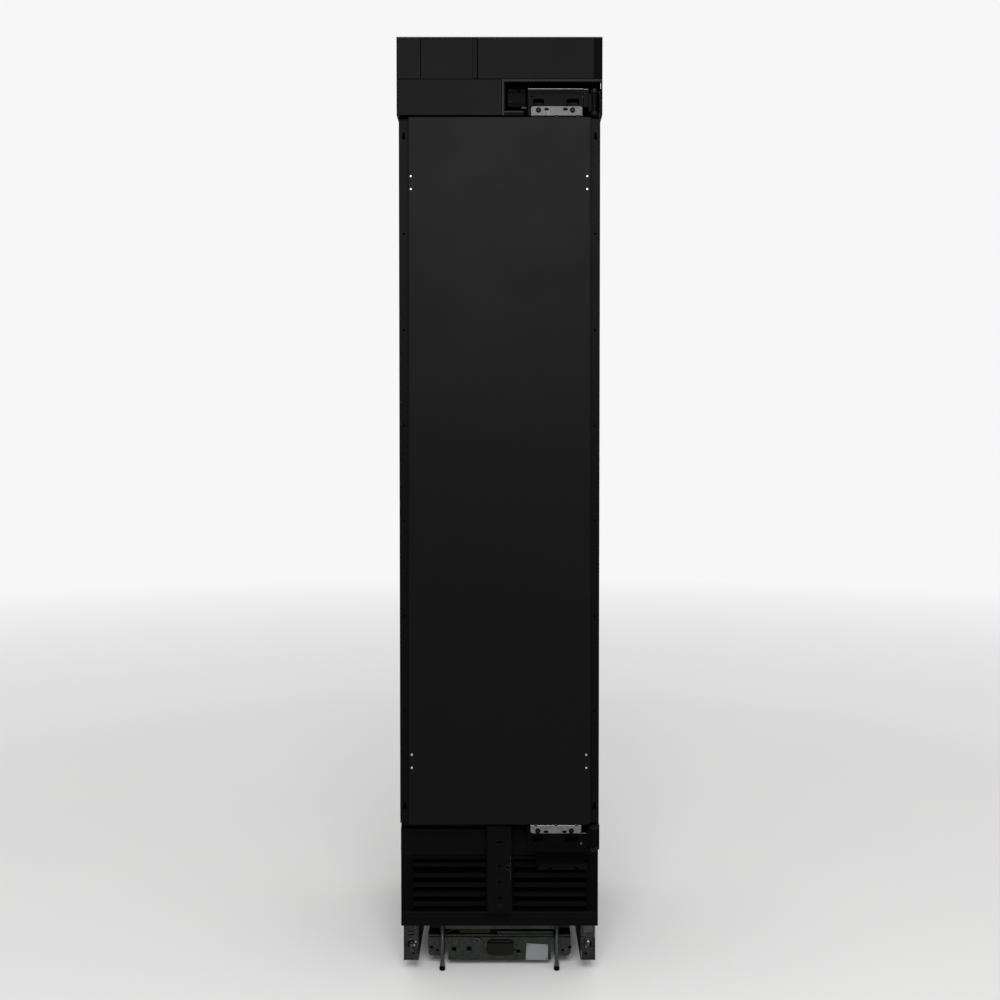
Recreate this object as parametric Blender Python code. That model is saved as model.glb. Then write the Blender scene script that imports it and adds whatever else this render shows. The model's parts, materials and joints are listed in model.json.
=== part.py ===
"""Panel-ready column freezer as separate sub-parts: metres, +Z up, front towards -Y."""
import math

import bmesh
import bpy
from mathutils import Matrix, Vector

for item in list(bpy.data.objects):
    bpy.data.objects.remove(item, do_unlink=True)

# Whole freezer
WIDTH = 0.4509
HEIGHT = 2.1177
DEPTH = 0.6318
GAP = 0.0003                 # between neighbouring solids that touch on the real freezer
SHEET = 0.001                # painted steel sheet
OVERRUN = 0.002              # how far a cutting body passes the face it cuts

# Door and its place
DOOR_SIDE_ROOM = 0.00295     # from the door's edge to the cabinet's side
FASCIA_HEIGHT = 0.1727       # from the door's top to the top of the freezer
DOOR_CLEARANCE = 0.002       # between the door and what is above and below it
DOOR_THICKNESS = 0.070
SIDE_FLANGE = 0.0215         # each side of the plain front panel
RAISED_DEPTH = 0.018         # of the plain front panel, proud of the flanges
TRIM_SHEET = 0.0015
TRIM_PITCH = 0.212           # between the screw holes of the side trims
TRIM_HOLE_RADIUS = 0.0022
TRIM_HOLE_COUNT = 6
KEYHOLE_WIDTH = 0.005
KEYHOLE_HEIGHT = 0.016
KEYHOLE_RADIUS = 0.004
KEYHOLE_INSET = 0.030        # from the door's top or bottom edge
GASKET_THICKNESS = 0.012
GASKET_WIDTH = 0.014

# Insulated cabinet
SIDE_WALL = 0.05005          # outer face to cavity
TOP_WALL = 0.050             # door's top to cavity
BOTTOM_WALL = 0.050          # door's bottom to cavity
REAR_WALL = 0.055
LINER = 0.002
STEEL_FLANGE = 0.040         # front return of a side panel, which the gasket seals on

# Top fascia
UPPER_ROW_HEIGHT = 0.0922    # from the seam between the two rows of panels to the top
TOP_LIP = 0.0035
FASCIA_RETURN = 0.014
UPPER_LEFT_WIDTH = 0.05265
UPPER_MIDDLE_WIDTH = 0.1247
STILE_WIDTH = 0.0175
POCKET_WIDTH = 0.22085       # from the lower panel's seam to the right side

# Hinge
PIN_INSET = 0.01645          # from the cabinet's right side
PIN_SETBACK = 0.015          # behind the door's front plane
PIN_RADIUS = 0.004
LUG_RADIUS = 0.010
LUG_THICKNESS = 0.0075
KNUCKLE_RADIUS = 0.009
LEAF_SHEET = 0.003
KNUCKLE_WEB_SHARE = 0.7      # of the knuckle's radius
HOUSING_STRUT_ROOM = 0.03325 # from the centre strut to the housing's free end
HOUSING_HEIGHT = 0.060
HOUSING_DEPTH = 0.040
HOUSING_SETBACK = 0.006
HOUSING_CLEARANCE = 0.002    # from the lugs
HOUSING_STEP_LENGTH = 0.0125 # of the housing's pin end, which is set back to clear the cabinet's side
HOUSING_STEP = 0.0024
WINDOW_SHARES = ((0.09, 0.27), (0.63, 0.84))      # of the housing's length
WINDOW_HEIGHT = 0.0168
WINDOW_DEPTH = 0.016
HINGE_PLATE = 0.0025
HINGE_PLATE_LEFT_INSET = 0.0043                   # from the housing's free end
HINGE_PLATE_RIGHT_INSET = 0.015                   # from the housing's pin end
HINGE_PLATE_HEIGHT = 0.0222
PLATE_SLOT_SHARES = (0.32, 0.68)                  # of the plate's length
PLATE_SLOT_RISE_SHARE = 0.6                       # of the plate's height
PLATE_SLOT_LENGTH = 0.0058
PLATE_SLOT_HEIGHT = 0.0027
HINGE_PLATE_CORNER = 0.004
POCKET_WALL = 0.0055
POCKET_SHEET = 0.002
POCKET_LEDGE = 0.0095
NOTCH_CLEARANCE = 0.005      # round the swinging hinge housing

# Front below the door
LOWER_SETBACK = 0.060        # of the cross panel, grille and rail behind the door's front
PANEL_SHEET = 0.0015
LOWER_RAIL_HEIGHT = 0.0302
GRILLE_HEIGHT = 0.132
CROSS_HEIGHT = 0.0875
STILE = 0.024
GRILLE_RAIL = 0.003
SLAT_PITCH = 0.0228
SLAT_HEIGHT = 0.0125
SLAT_THICKNESS = 0.004
SLAT_COUNT = 5
STRUT_WIDTH = 0.0565
STRUT_SETBACK = 0.030
STRUT_SHEET = 0.002
STRUT_FOOT_ROOM = 0.0108     # above the grille's lower edge
STRUT_HEAD_ROOM = 0.0105     # under the cross panel's upper edge
STRUT_HOLE_SHARES = (0.17, 0.36, 0.54, 0.84)      # of the strut's height
STRUT_HOLE_RADIUS = 0.0028

# Base
DECK_TOP = 0.1283
DECK_SHEET = 0.002
ZINC = 0.0025
RAIL_INSET = 0.0032
RAIL_WIDTH = 0.0336
RAIL_BOTTOM = 0.030
RAIL_FRONT = 0.095
BRIDGE_FRONT = 0.127
BRIDGE_BOTTOM = 0.0145
BRIDGE_TOP = 0.0765
BRIDGE_INSET = 0.06015       # from the rail's inner face to the lower plate
EAR_INSET = 0.02065
EAR_BOTTOM = 0.031
LIP_FRONT = 0.118
LIP_HEIGHT = 0.028
LIP_INSET = 0.04815
BRIDGE_DEPTH = 0.035
GRIP_X_SHARES = (-0.12, 0.115)                    # of the plate's width, from its middle
GRIP_Z_SHARES = (0.24, 0.72)                      # of the plate's height
BRIDGE_HOLE_SHARES = (       # across and up, of half the plate's width and of its height, and the radius
    (-0.835, 0.43, 0.085),
    (-0.556, 0.43, 0.085),
    (0.335, 0.48, 0.06),
    (-1.25, 0.50, 0.055),
    (-1.14, 0.39, 0.055),
    (1.25, 0.50, 0.055),
    (1.16, 0.39, 0.055),
)
LEG_INSET = 0.05465          # from the rail's inner face to the leg's axis
LEG_SETBACK = 0.110
LEG_RADIUS = 0.0058
LEG_ROOM = 0.0035            # between the leg's top and the floor sheet
FOOT_RADIUS = 0.009
FOOT_HEIGHT = 0.010
FOOT_FLAT_SHARE = 0.6        # of the foot's radius
FOOT_RIM_SHARE = 0.4         # of the foot's height
NUT_THICKNESS = 0.006
NUT_WALL = 0.0035
ADJUSTER_Z = 0.068
ADJUSTER_RADIUS = 0.004
HEX_RADIUS = 0.0068
HEX_LENGTH = 0.008
ROLLER_RADIUS = 0.020
ROLLER_WIDTH = 0.019
LIFT_CHEEK = 0.003
LIFT_LENGTH = 0.056
LIFT_TOP = 0.088
LIFT_BACK_CLEARANCE = 0.030
AXLE_RADIUS = 0.004

# Inside
COVER_SETBACK = 0.078        # of the evaporator cover from the cavity's rear wall
COVER_SHEET = 0.003
RIB_DEPTH = 0.010
RIB_HEIGHT = 0.008
SHELF_THICKNESS = 0.006
ICE_ROOM = 0.365             # from the upper shelf to the cavity's top
MIDDLE_SHELF_SHARE = 0.477   # of the way from the drawer's rim to the upper shelf
SHELF_RIM = 0.012
FRONT_ROOM = 0.019           # between the door bins and what slides or rests behind them
SLIDE_ROOM = 0.012
BIN_WALL = 0.003
ICE_BIN_HEIGHT = 0.190
DRAWER_ROOM = 0.016          # under the drawer
DRAWER_HEIGHT = 0.300
DRAWER_RIM_RISE = 0.254      # from the drawer's floor to the ribs that carry it
COIL_HEIGHT = 0.300
COIL_DROP = 0.240            # from the fan's axis to the coil's top
COIL_MARGIN = 0.020
COIL_GROOVE_COUNT = 8
GROOVE_SHARE = 0.4           # of the pitch of the fins
FAN_RADIUS = 0.055
FAN_HUB_RADIUS = 0.017
FAN_DEPTH = 0.018
FAN_CLEARANCE = 0.005
FAN_SHARE = 0.44             # of the way from the middle shelf to the upper one
BLADE_COUNT = 5
BLADE_ANGLE = 48
BLADE_THICKNESS_SHARE = 0.12                      # of the fan's depth
BLADE_WIDTH_SHARE = 1.18
COVER_SLOT_COUNT = 3
RETURN_WIDTH_SHARE = 0.75    # of the cover's half width
OUTLET_WIDTH_SHARE = 0.5
MOTOR_RADIUS = 0.021
MOTOR_DEPTH = 0.024
STRUT_ROD = 0.006

# Ice maker
ICE_LEFT = 0.0003            # from the liner's left wall
ICE_LENGTH = 0.250
ICE_HEAD = 0.036
ICE_DEPTH = 0.110
ICE_HEIGHT = 0.090
ICE_TOP_CLEARANCE = 0.0003
TROUGH_RADIUS = 0.034
FINGER_LENGTH = 0.028
FINGER_COUNT = 7
SHAFT_RADIUS = 0.005
ARM_RADIUS = 0.002
ARM_DROP = 0.075
ARM_REACH = 0.150

# Door inside
DYKE_DEPTH = 0.025
DYKE_WIDTH = 0.015
DYKE_ROOM_LEFT = 0.0154      # from the cavity's side; the sides differ so that the door clears the cavity
DYKE_ROOM_RIGHT = 0.0104
DYKE_END = 0.075             # from the door's top and bottom edges
DOOR_BIN_DEPTH = 0.080
DOOR_BIN_HEIGHT = 0.100
LOWER_BIN_RISE = 0.041       # above the drawer's rim
UPPER_BIN_RISE = 0.0224      # above the ice bin's rim
MIDDLE_BIN_SHARE = 0.4726    # of the way from the lower door bin's rim to the ice bin

# Machine compartment
COMPRESSOR_RADIUS = 0.072
COMPRESSOR_HEIGHT = 0.165
COMPRESSOR_INSET = 0.11915   # from the right side sheet to the compressor's axis
COMPRESSOR_SETBACK = 0.1459  # from the back to the compressor's axis
COMPRESSOR_BASE_SHARES = ((0.85, 0.0), (1.0, 0.15))            # out and up, of the radius
COMPRESSOR_DOME_SHARES = ((1.0, 0.6), (0.9, 0.3), (0.6, 0.08)) # out and down, of the radius
COMPRESSOR_FOOT_SHARES = (1.2, 1.05)              # across and deep, of the radius
CONDENSER_DEPTH = 0.060
CONDENSER_WIDTH = 0.240
CONDENSER_HEIGHT = 0.170
CONDENSER_INSET = 0.02415    # from the left side sheet
CONDENSER_GROOVE_COUNT = 7
CONDENSER_FAN_RADIUS = 0.068
SHROUD_SPACE = 0.020
TRAY_ROOM = 0.04075          # between the tray and the compressor's foot
TRAY_LENGTH = 0.200
TRAY_HEIGHT = 0.035
VENT_PITCH = 0.018
VENT_HEIGHT = 0.007
VENT_COUNT = 9
VENT_WIDTH_SHARE = 0.6       # of the cover's half width
CONTROL_WIDTH = 0.240
CONTROL_LENGTH = 0.220
CONTROL_HEIGHT = 0.070

# Places worked out from the sizes above
FRONT = -DEPTH / 2
BACK = DEPTH / 2
HALF = WIDTH / 2
INNER_HALF = HALF - SHEET - GAP
CABINET_FRONT = FRONT + DOOR_THICKNESS + GASKET_THICKNESS
GRILLE_BOTTOM = DECK_TOP + LOWER_RAIL_HEIGHT
CROSS_BOTTOM = GRILLE_BOTTOM + GRILLE_HEIGHT
PANEL_TOP = CROSS_BOTTOM + CROSS_HEIGHT
STRUT_BOTTOM = GRILLE_BOTTOM + STRUT_FOOT_ROOM
STRUT_TOP = PANEL_TOP - STRUT_HEAD_ROOM
DOOR_BOTTOM = PANEL_TOP + DOOR_CLEARANCE
DOOR_TOP = HEIGHT - FASCIA_HEIGHT
DOOR_WIDTH = WIDTH - 2 * DOOR_SIDE_ROOM
RAISED_WIDTH = DOOR_WIDTH - 2 * SIDE_FLANGE
FASCIA_BOTTOM = DOOR_TOP + DOOR_CLEARANCE
ROW_SPLIT = HEIGHT - UPPER_ROW_HEIGHT
SEAM_LEFT = UPPER_LEFT_WIDTH - HALF
SEAM_MIDDLE = SEAM_LEFT + UPPER_MIDDLE_WIDTH
SEAM_LOWER = HALF - POCKET_WIDTH
TOP_UNDERSIDE = HEIGHT - SHEET
LOWER_FRONT = FRONT + LOWER_SETBACK
PIN_X = HALF - PIN_INSET
PIN_Y = FRONT + PIN_SETBACK
HOUSING_LEFT = STRUT_WIDTH / 2 + HOUSING_STRUT_ROOM
HOUSING_RIGHT = PIN_X - LUG_RADIUS - HOUSING_CLEARANCE
HINGE_PLATE_LEFT = HOUSING_LEFT + HINGE_PLATE_LEFT_INSET
HINGE_PLATE_RIGHT = HOUSING_RIGHT - HINGE_PLATE_RIGHT_INSET
RAIL_INNER = HALF - RAIL_INSET - RAIL_WIDTH
BRIDGE_WIDTH = 2 * (RAIL_INNER - BRIDGE_INSET)
EAR_WIDTH = 2 * (RAIL_INNER - EAR_INSET)
LIP_WIDTH = 2 * (RAIL_INNER - LIP_INSET)
LEG_X = RAIL_INNER - LEG_INSET
LEG_TOP = DECK_TOP - DECK_SHEET - LEG_ROOM
CAVITY_HALF = HALF - SIDE_WALL
CAVITY_BOTTOM = DOOR_BOTTOM + BOTTOM_WALL
CAVITY_TOP = DOOR_TOP - TOP_WALL
CAVITY_BACK = BACK - REAR_WALL
COVER_FRONT = CAVITY_BACK - COVER_SETBACK
DOOR_BACK = FRONT + DOOR_THICKNESS
BIN_INNER = DOOR_BACK + DOOR_BIN_DEPTH
STORE_FRONT = BIN_INNER + FRONT_ROOM
DRAWER_Z = CAVITY_BOTTOM + DRAWER_ROOM
DRAWER_TOP = DRAWER_Z + DRAWER_HEIGHT
DRAWER_RIB_Z = DRAWER_Z + DRAWER_RIM_RISE
SHELF_UPPER_Z = CAVITY_TOP - ICE_ROOM
SHELF_MIDDLE_Z = DRAWER_TOP + (SHELF_UPPER_Z - DRAWER_TOP) * MIDDLE_SHELF_SHARE
EVAPORATOR_FAN_Z = SHELF_MIDDLE_Z + (SHELF_UPPER_Z - SHELF_MIDDLE_Z) * FAN_SHARE
COIL_Z = EVAPORATOR_FAN_Z - COIL_DROP - COIL_HEIGHT
ICE_BIN_Z = SHELF_UPPER_Z + SHELF_THICKNESS + 2 * GAP
ICE_BIN_TOP = ICE_BIN_Z + ICE_BIN_HEIGHT
DYKE_LEFT = CAVITY_HALF - DYKE_ROOM_LEFT
DYKE_RIGHT = CAVITY_HALF - DYKE_ROOM_RIGHT
COMPRESSOR_X = INNER_HALF - COMPRESSOR_INSET
COMPRESSOR_Y = BACK - COMPRESSOR_SETBACK
CONDENSER_LEFT = CONDENSER_INSET - INNER_HALF
FOAM_BOTTOM = PANEL_TOP + DOOR_CLEARANCE + SHEET
FOAM_TOP = DOOR_TOP - GAP

FINISHES = {
    "black_paint": ((0.012, 0.012, 0.013), 0.45, 0.0),
    "black_plastic": ((0.010, 0.010, 0.010), 0.55, 0.0),
    "white_plastic": ((0.75, 0.76, 0.77), 0.40, 0.0),
    "clear_plastic": ((0.70, 0.74, 0.76), 0.15, 0.0),
    "zinc": ((0.52, 0.54, 0.52), 0.35, 1.0),
    "steel": ((0.60, 0.60, 0.60), 0.25, 1.0),
    "foam": ((0.85, 0.78, 0.55), 0.90, 0.0),
    "gasket_rubber": ((0.02, 0.02, 0.02), 0.70, 0.0),
    "aluminium": ((0.70, 0.71, 0.72), 0.35, 1.0),
    "compressor_black": ((0.015, 0.015, 0.015), 0.40, 0.0),
    "glass": ((0.60, 0.72, 0.70), 0.05, 0.0),
    "grey_plastic": ((0.25, 0.26, 0.27), 0.50, 0.0),
}
materials = {}


def material(name):
    """The named finish, made once."""
    if name not in materials:
        colour, roughness, metallic = FINISHES[name]
        made = bpy.data.materials.new(name)
        made.use_nodes = True
        shader = made.node_tree.nodes["Principled BSDF"]
        shader.inputs["Base Color"].default_value = (*colour, 1.0)
        shader.inputs["Roughness"].default_value = roughness
        shader.inputs["Metallic"].default_value = metallic
        materials[name] = made
    return materials[name]


def put(name, form, at, finish):
    """Turns a bmesh built round the origin into an object at its place; with no finish it is a helper."""
    bmesh.ops.recalc_face_normals(form, faces=form.faces)
    mesh = bpy.data.meshes.new(name)
    form.to_mesh(mesh)
    form.free()
    made = bpy.data.objects.new(name, mesh)
    made.location = at
    bpy.context.scene.collection.objects.link(made)
    if finish:
        mesh.materials.append(material(finish))
    else:
        made.hide_render = True
        made.display_type = "WIRE"
    return made


def block(name, xs, ys, zs, finish=None, bevel=0.0):
    """A box between two places on each axis."""
    spans = [sorted(pair) for pair in (xs, ys, zs)]
    centre = Vector([(low + high) / 2 for low, high in spans])
    form = bmesh.new()
    bmesh.ops.create_cube(form, size=1.0)
    bmesh.ops.scale(form, vec=[high - low for low, high in spans], verts=form.verts)
    made = put(name, form, centre, finish)
    if bevel:
        rounding = made.modifiers.new("edges", "BEVEL")
        rounding.width = bevel
        rounding.segments = 2
    return made


AXES = {"X": (1, 2, 0), "Y": (0, 2, 1), "Z": (0, 1, 2)}


def prism(name, outline, axis, low, high, finish=None):
    """An outline, given on the two other axes in their order, carried along one axis."""
    first, second, along = AXES[axis]
    centre = Vector((0.0, 0.0, 0.0))
    centre[first] = sum(point[0] for point in outline) / len(outline)
    centre[second] = sum(point[1] for point in outline) / len(outline)
    centre[along] = (low + high) / 2
    form = bmesh.new()
    corners = []
    for point in outline:
        place = Vector((0.0, 0.0, 0.0))
        place[first], place[second], place[along] = point[0], point[1], low
        corners.append(form.verts.new(place - centre))
    face = form.faces.new(corners)
    pushed = bmesh.ops.extrude_face_region(form, geom=[face])["geom"]
    shift = Vector((0.0, 0.0, 0.0))
    shift[along] = high - low
    bmesh.ops.translate(form, vec=shift, verts=[v for v in pushed if isinstance(v, bmesh.types.BMVert)])
    return put(name, form, centre, finish)


def ring_points(centre, radius, sides, start=0.0, turn=2 * math.pi):
    """Points round a circle, or round part of it."""
    steps = sides if turn >= 2 * math.pi else sides - 1
    angles = [start + turn * i / steps for i in range(sides)]
    return [(centre[0] + radius * math.cos(a), centre[1] + radius * math.sin(a)) for a in angles]


def bar(name, axis, centre, radius, low, high, finish=None, sides=16):
    """A round bar along one axis; centre is on the two other axes."""
    start = math.pi / sides
    made = prism(name, ring_points(centre, radius, sides, start), axis, low, high, finish)
    if finish:
        made.data.shade_smooth()
        made.data.set_sharp_from_angle(angle=math.radians(40))
    return made


def turned(name, profile, at, finish=None, sides=20):
    """A profile of (radius, height) pairs turned about a vertical axis; it starts and ends on the axis."""
    form = bmesh.new()
    rows = []
    for radius, height in profile:
        if radius:
            ring = ring_points((0.0, 0.0), radius, sides)
            rows.append([form.verts.new((x, y, height)) for x, y in ring])
        else:
            rows.append([form.verts.new((0.0, 0.0, height))])
    for lower, upper in zip(rows, rows[1:]):
        for i in range(sides):
            j = (i + 1) % sides
            if len(lower) == 1:
                form.faces.new((lower[0], upper[i], upper[j]))
            elif len(upper) == 1:
                form.faces.new((lower[i], lower[j], upper[0]))
            else:
                form.faces.new((lower[i], lower[j], upper[j], upper[i]))
    made = put(name, form, at, finish)
    if finish:
        made.data.shade_smooth()
        made.data.set_sharp_from_angle(angle=math.radians(40))
    return made


def carry(parent, *children):
    """Parents the children without moving them."""
    for child in children:
        child.parent = parent
        child.matrix_parent_inverse = Matrix.Translation(-parent.location)


def combine(whole, operation, helpers):
    """One Boolean for each helper, which then travels with the whole."""
    for helper in helpers:
        step = whole.modifiers.new(helper.name, "BOOLEAN")
        step.operation = operation
        step.object = helper
        carry(whole, helper)
    return whole


def carve(whole, *helpers):
    return combine(whole, "DIFFERENCE", helpers)


def fuse(whole, *helpers):
    return combine(whole, "UNION", helpers)


def axis_empty(name, at, *pieces):
    """An empty on a joint's axis, which carries the pieces that move about it."""
    empty = bpy.data.objects.new(name, None)
    empty.location = at
    bpy.context.scene.collection.objects.link(empty)
    carry(empty, *pieces)
    return empty


def pan(name, xs, ys, zs, sheet, finish):
    """A folded sheet pan: front face and four returns, open at the back."""
    xs, ys, zs = sorted(xs), sorted(ys), sorted(zs)
    hollow = block(
        name + "_hollow",
        (xs[0] + sheet, xs[1] - sheet),
        (ys[0] + sheet, ys[1] + OVERRUN),
        (zs[0] + sheet, zs[1] - sheet),
    )
    return carve(block(name, xs, ys, zs, finish), hollow)


def open_box(name, xs, ys, zs, wall, finish):
    """A box open at its top, for bins, drawers and trays."""
    xs, ys, zs = sorted(xs), sorted(ys), sorted(zs)
    hollow = block(
        name + "_hollow",
        (xs[0] + wall, xs[1] - wall),
        (ys[0] + wall, ys[1] - wall),
        (zs[0] + wall, zs[1] + OVERRUN),
    )
    return carve(block(name, xs, ys, zs, finish), hollow)


# Cabinet


def side_panel(name, side):
    """Side sheet, deeper at the top fascia, with the front return that the door seals on."""
    bottom = DECK_TOP + GAP
    top = TOP_UNDERSIDE - GAP
    outline = [
        (CABINET_FRONT, bottom),
        (BACK, bottom),
        (BACK, top),
        (FRONT, top),
        (FRONT, FASCIA_BOTTOM),
        (CABINET_FRONT, FASCIA_BOTTOM),
    ]
    inside, outside = sorted((side * (HALF - SHEET), side * HALF))
    sheet = prism(name, outline, "X", inside, outside, "black_paint")
    root = side * (HALF - SHEET / 2)
    seal = block(
        name + "_return",
        (root, side * (HALF - STEEL_FLANGE)),
        (CABINET_FRONT, CABINET_FRONT + SHEET),
        (bottom, FASCIA_BOTTOM),
    )
    fuse(sheet, seal)
    if side > 0:
        stile = block(
            name + "_stile",
            (root, HALF - STILE_WIDTH),
            (FRONT, FRONT + SHEET),
            (ROW_SPLIT + GAP, HEIGHT - TOP_LIP - GAP),
        )
        fuse(sheet, stile)
    return sheet


def top_panel():
    """Top sheet with a short lip folded down over the fascia."""
    outline = [
        (FRONT, HEIGHT - TOP_LIP),
        (FRONT + SHEET, HEIGHT - TOP_LIP),
        (FRONT + SHEET, TOP_UNDERSIDE),
        (BACK, TOP_UNDERSIDE),
        (BACK, HEIGHT),
        (FRONT, HEIGHT),
    ]
    sheet = prism("top_panel", outline, "X", -HALF, HALF, "black_paint")
    corners = [
        block(
            "top_panel_corner",
            (side * (HALF - SHEET - GAP), side * (HALF + OVERRUN)),
            (FRONT - OVERRUN, FRONT + SHEET + GAP),
            (HEIGHT - TOP_LIP - OVERRUN, TOP_UNDERSIDE),
        )
        for side in (-1, 1)
    ]
    return carve(sheet, *corners)


def vent_slots(name, half, ys, bottom, count):
    """A column of level slots, to cut from a sheet."""
    return [
        block(name, (-half, half), ys, (bottom + i * VENT_PITCH, bottom + i * VENT_PITCH + VENT_HEIGHT))
        for i in range(count)
    ]


def rear_panels():
    """Rear sheet of the insulated part, and the vented cover of the machine compartment."""
    split = FOAM_BOTTOM - GAP
    ys = (BACK - SHEET, BACK)
    block("rear_panel", (-INNER_HALF, INNER_HALF), ys, (split + GAP, TOP_UNDERSIDE - GAP), "zinc")
    cover = block("machine_rear_cover", (-INNER_HALF, INNER_HALF), ys, (DECK_TOP + GAP, split), "zinc")
    through = (BACK - SHEET - OVERRUN, BACK + OVERRUN)
    vent_half = INNER_HALF * VENT_WIDTH_SHARE
    carve(cover, *vent_slots("rear_vent", vent_half, through, DECK_TOP + TRAY_HEIGHT, VENT_COUNT))


def insulation():
    """Foamed body of the cabinet, open to the front round the liner."""
    body = block(
        "cabinet_foam",
        (-INNER_HALF, INNER_HALF),
        (CABINET_FRONT + LINER + GAP, BACK - SHEET - GAP),
        (FOAM_BOTTOM, FOAM_TOP),
        "foam",
    )
    room = LINER + GAP
    hollow = block(
        "foam_hollow",
        (-CAVITY_HALF - room, CAVITY_HALF + room),
        (CABINET_FRONT - OVERRUN, CAVITY_BACK + room),
        (CAVITY_BOTTOM - room, CAVITY_TOP + room),
    )
    return carve(body, hollow)


def liner():
    """Moulded liner: five walls, a front flange, and the ribs that carry shelves and the drawer."""
    shell = block(
        "inner_liner",
        (-CAVITY_HALF - LINER, CAVITY_HALF + LINER),
        (CABINET_FRONT, CAVITY_BACK + LINER),
        (CAVITY_BOTTOM - LINER, CAVITY_TOP + LINER),
        "white_plastic",
    )
    edge = HALF - STEEL_FLANGE - GAP
    flange = block(
        "liner_flange",
        (-edge, edge),
        (CABINET_FRONT, CABINET_FRONT + LINER),
        (FOAM_BOTTOM, FOAM_TOP),
    )
    hollow = block(
        "liner_hollow",
        (-CAVITY_HALF, CAVITY_HALF),
        (CABINET_FRONT - OVERRUN, CAVITY_BACK),
        (CAVITY_BOTTOM, CAVITY_TOP),
    )
    carve(fuse(shell, flange), hollow)
    for side in (-1, 1):
        wall = side * (CAVITY_HALF + LINER / 2)
        for top in (SHELF_UPPER_Z, SHELF_MIDDLE_Z, DRAWER_RIB_Z):
            rib = block(
                "liner_rib",
                (wall, side * (CAVITY_HALF - RIB_DEPTH)),
                (STORE_FRONT, COVER_FRONT - GAP),
                (top - RIB_HEIGHT, top),
            )
            fuse(shell, rib)
    return shell


def fascia():
    """Folded panels of the two rows above the door."""
    ys = (FRONT, FRONT + FASCIA_RETURN)
    top = HEIGHT - TOP_LIP - GAP
    upper = (ROW_SPLIT + GAP, top)
    stile = HALF - STILE_WIDTH - GAP
    pan("fascia_upper_left", (-INNER_HALF, SEAM_LEFT), ys, upper, SHEET, "black_paint")
    pan("fascia_upper_middle", (SEAM_LEFT + GAP, SEAM_MIDDLE - GAP), ys, upper, SHEET, "black_paint")
    pan("fascia_upper_right", (SEAM_MIDDLE + GAP, stile), ys, upper, SHEET, "black_paint")
    lower = (FASCIA_BOTTOM, ROW_SPLIT)
    pan("fascia_lower_left", (-INNER_HALF, SEAM_LOWER), ys, lower, SHEET, "black_paint")


# Hinge: one set above the door and its mirror image below


def hinge_levels(edge, way):
    """Heights of the hinge's pieces, counted away from the door's edge."""
    plate = edge + way * GAP
    housing = plate + way * (HINGE_PLATE + GAP)
    far = edge + way * (HINGE_PLATE + HOUSING_HEIGHT)
    return {
        "plate": plate,
        "housing": housing,
        "far": far,
        "near_lug": housing + way * HOUSING_CLEARANCE,
        "far_lug": far - way * HOUSING_CLEARANCE,
    }


def hinge_pocket():
    """Open box behind the fascia for the top hinge; its front ledge is notched for the swing."""
    ys = (FRONT, CABINET_FRONT - GAP)
    xs = (SEAM_LOWER + GAP, INNER_HALF)
    pocket = block("hinge_pocket", xs, ys, (FASCIA_BOTTOM, ROW_SPLIT), "black_plastic")
    hollow = block(
        "pocket_hollow",
        (xs[0] + POCKET_WALL, xs[1] + OVERRUN),
        (ys[0] - OVERRUN, ys[1] - POCKET_SHEET),
        (FASCIA_BOTTOM + POCKET_SHEET, ROW_SPLIT - POCKET_WALL),
    )
    ledge = block(
        "pocket_ledge",
        (xs[0] + POCKET_WALL / 2, HOUSING_LEFT),
        (ys[0], ys[0] + POCKET_WALL),
        (FASCIA_BOTTOM + POCKET_SHEET / 2, FASCIA_BOTTOM + POCKET_LEDGE),
    )
    reach = math.hypot(PIN_X - HOUSING_LEFT, HOUSING_SETBACK + HOUSING_DEPTH - PIN_SETBACK)
    notch = block(
        "pocket_notch",
        (PIN_X - reach - NOTCH_CLEARANCE, xs[1] + OVERRUN),
        (ys[0] - OVERRUN, ys[0] + HOUSING_SETBACK + HOUSING_DEPTH + NOTCH_CLEARANCE),
        (FASCIA_BOTTOM - OVERRUN, FASCIA_BOTTOM + POCKET_LEDGE + OVERRUN),
    )
    fuse(carve(pocket, hollow), ledge)
    return carve(pocket, notch)


def hinge_leaf(name, levels, rear):
    """Fixed leaf: a plate beside the pin, a flange at its back, and a lug each side of the knuckle."""
    outer = INNER_HALF - GAP
    inner = outer - LEAF_SHEET
    leaf = block(name, (inner, outer), (PIN_Y, rear), (levels["near_lug"], levels["far_lug"]), "steel")
    back_flange = block(
        name + "_flange",
        (outer - LEAF_SHEET / 2, PIN_X - LUG_RADIUS),
        (rear - LEAF_SHEET, rear),
        (levels["near_lug"], levels["far_lug"]),
    )
    fuse(leaf, back_flange)
    for key, way in (("near_lug", 1), ("far_lug", -1)):
        toward = way if levels["far"] > levels["plate"] else -way
        heights = sorted((levels[key], levels[key] + toward * LUG_THICKNESS))
        round_end = ring_points((PIN_X, PIN_Y), LUG_RADIUS, 9, math.pi, math.pi)
        square_end = [(inner + LEAF_SHEET / 2, PIN_Y), (inner + LEAF_SHEET / 2, PIN_Y + LUG_RADIUS)]
        outline = round_end + square_end + [(PIN_X - LUG_RADIUS, PIN_Y + LUG_RADIUS)]
        lug = prism(name + "_lug", outline, "Z", *heights)
        fuse(leaf, lug)
    hole = bar(
        name + "_bore",
        "Z",
        (PIN_X, PIN_Y),
        PIN_RADIUS + GAP,
        min(levels.values()) - OVERRUN,
        max(levels.values()) + OVERRUN,
    )
    return carve(leaf, hole)


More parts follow.
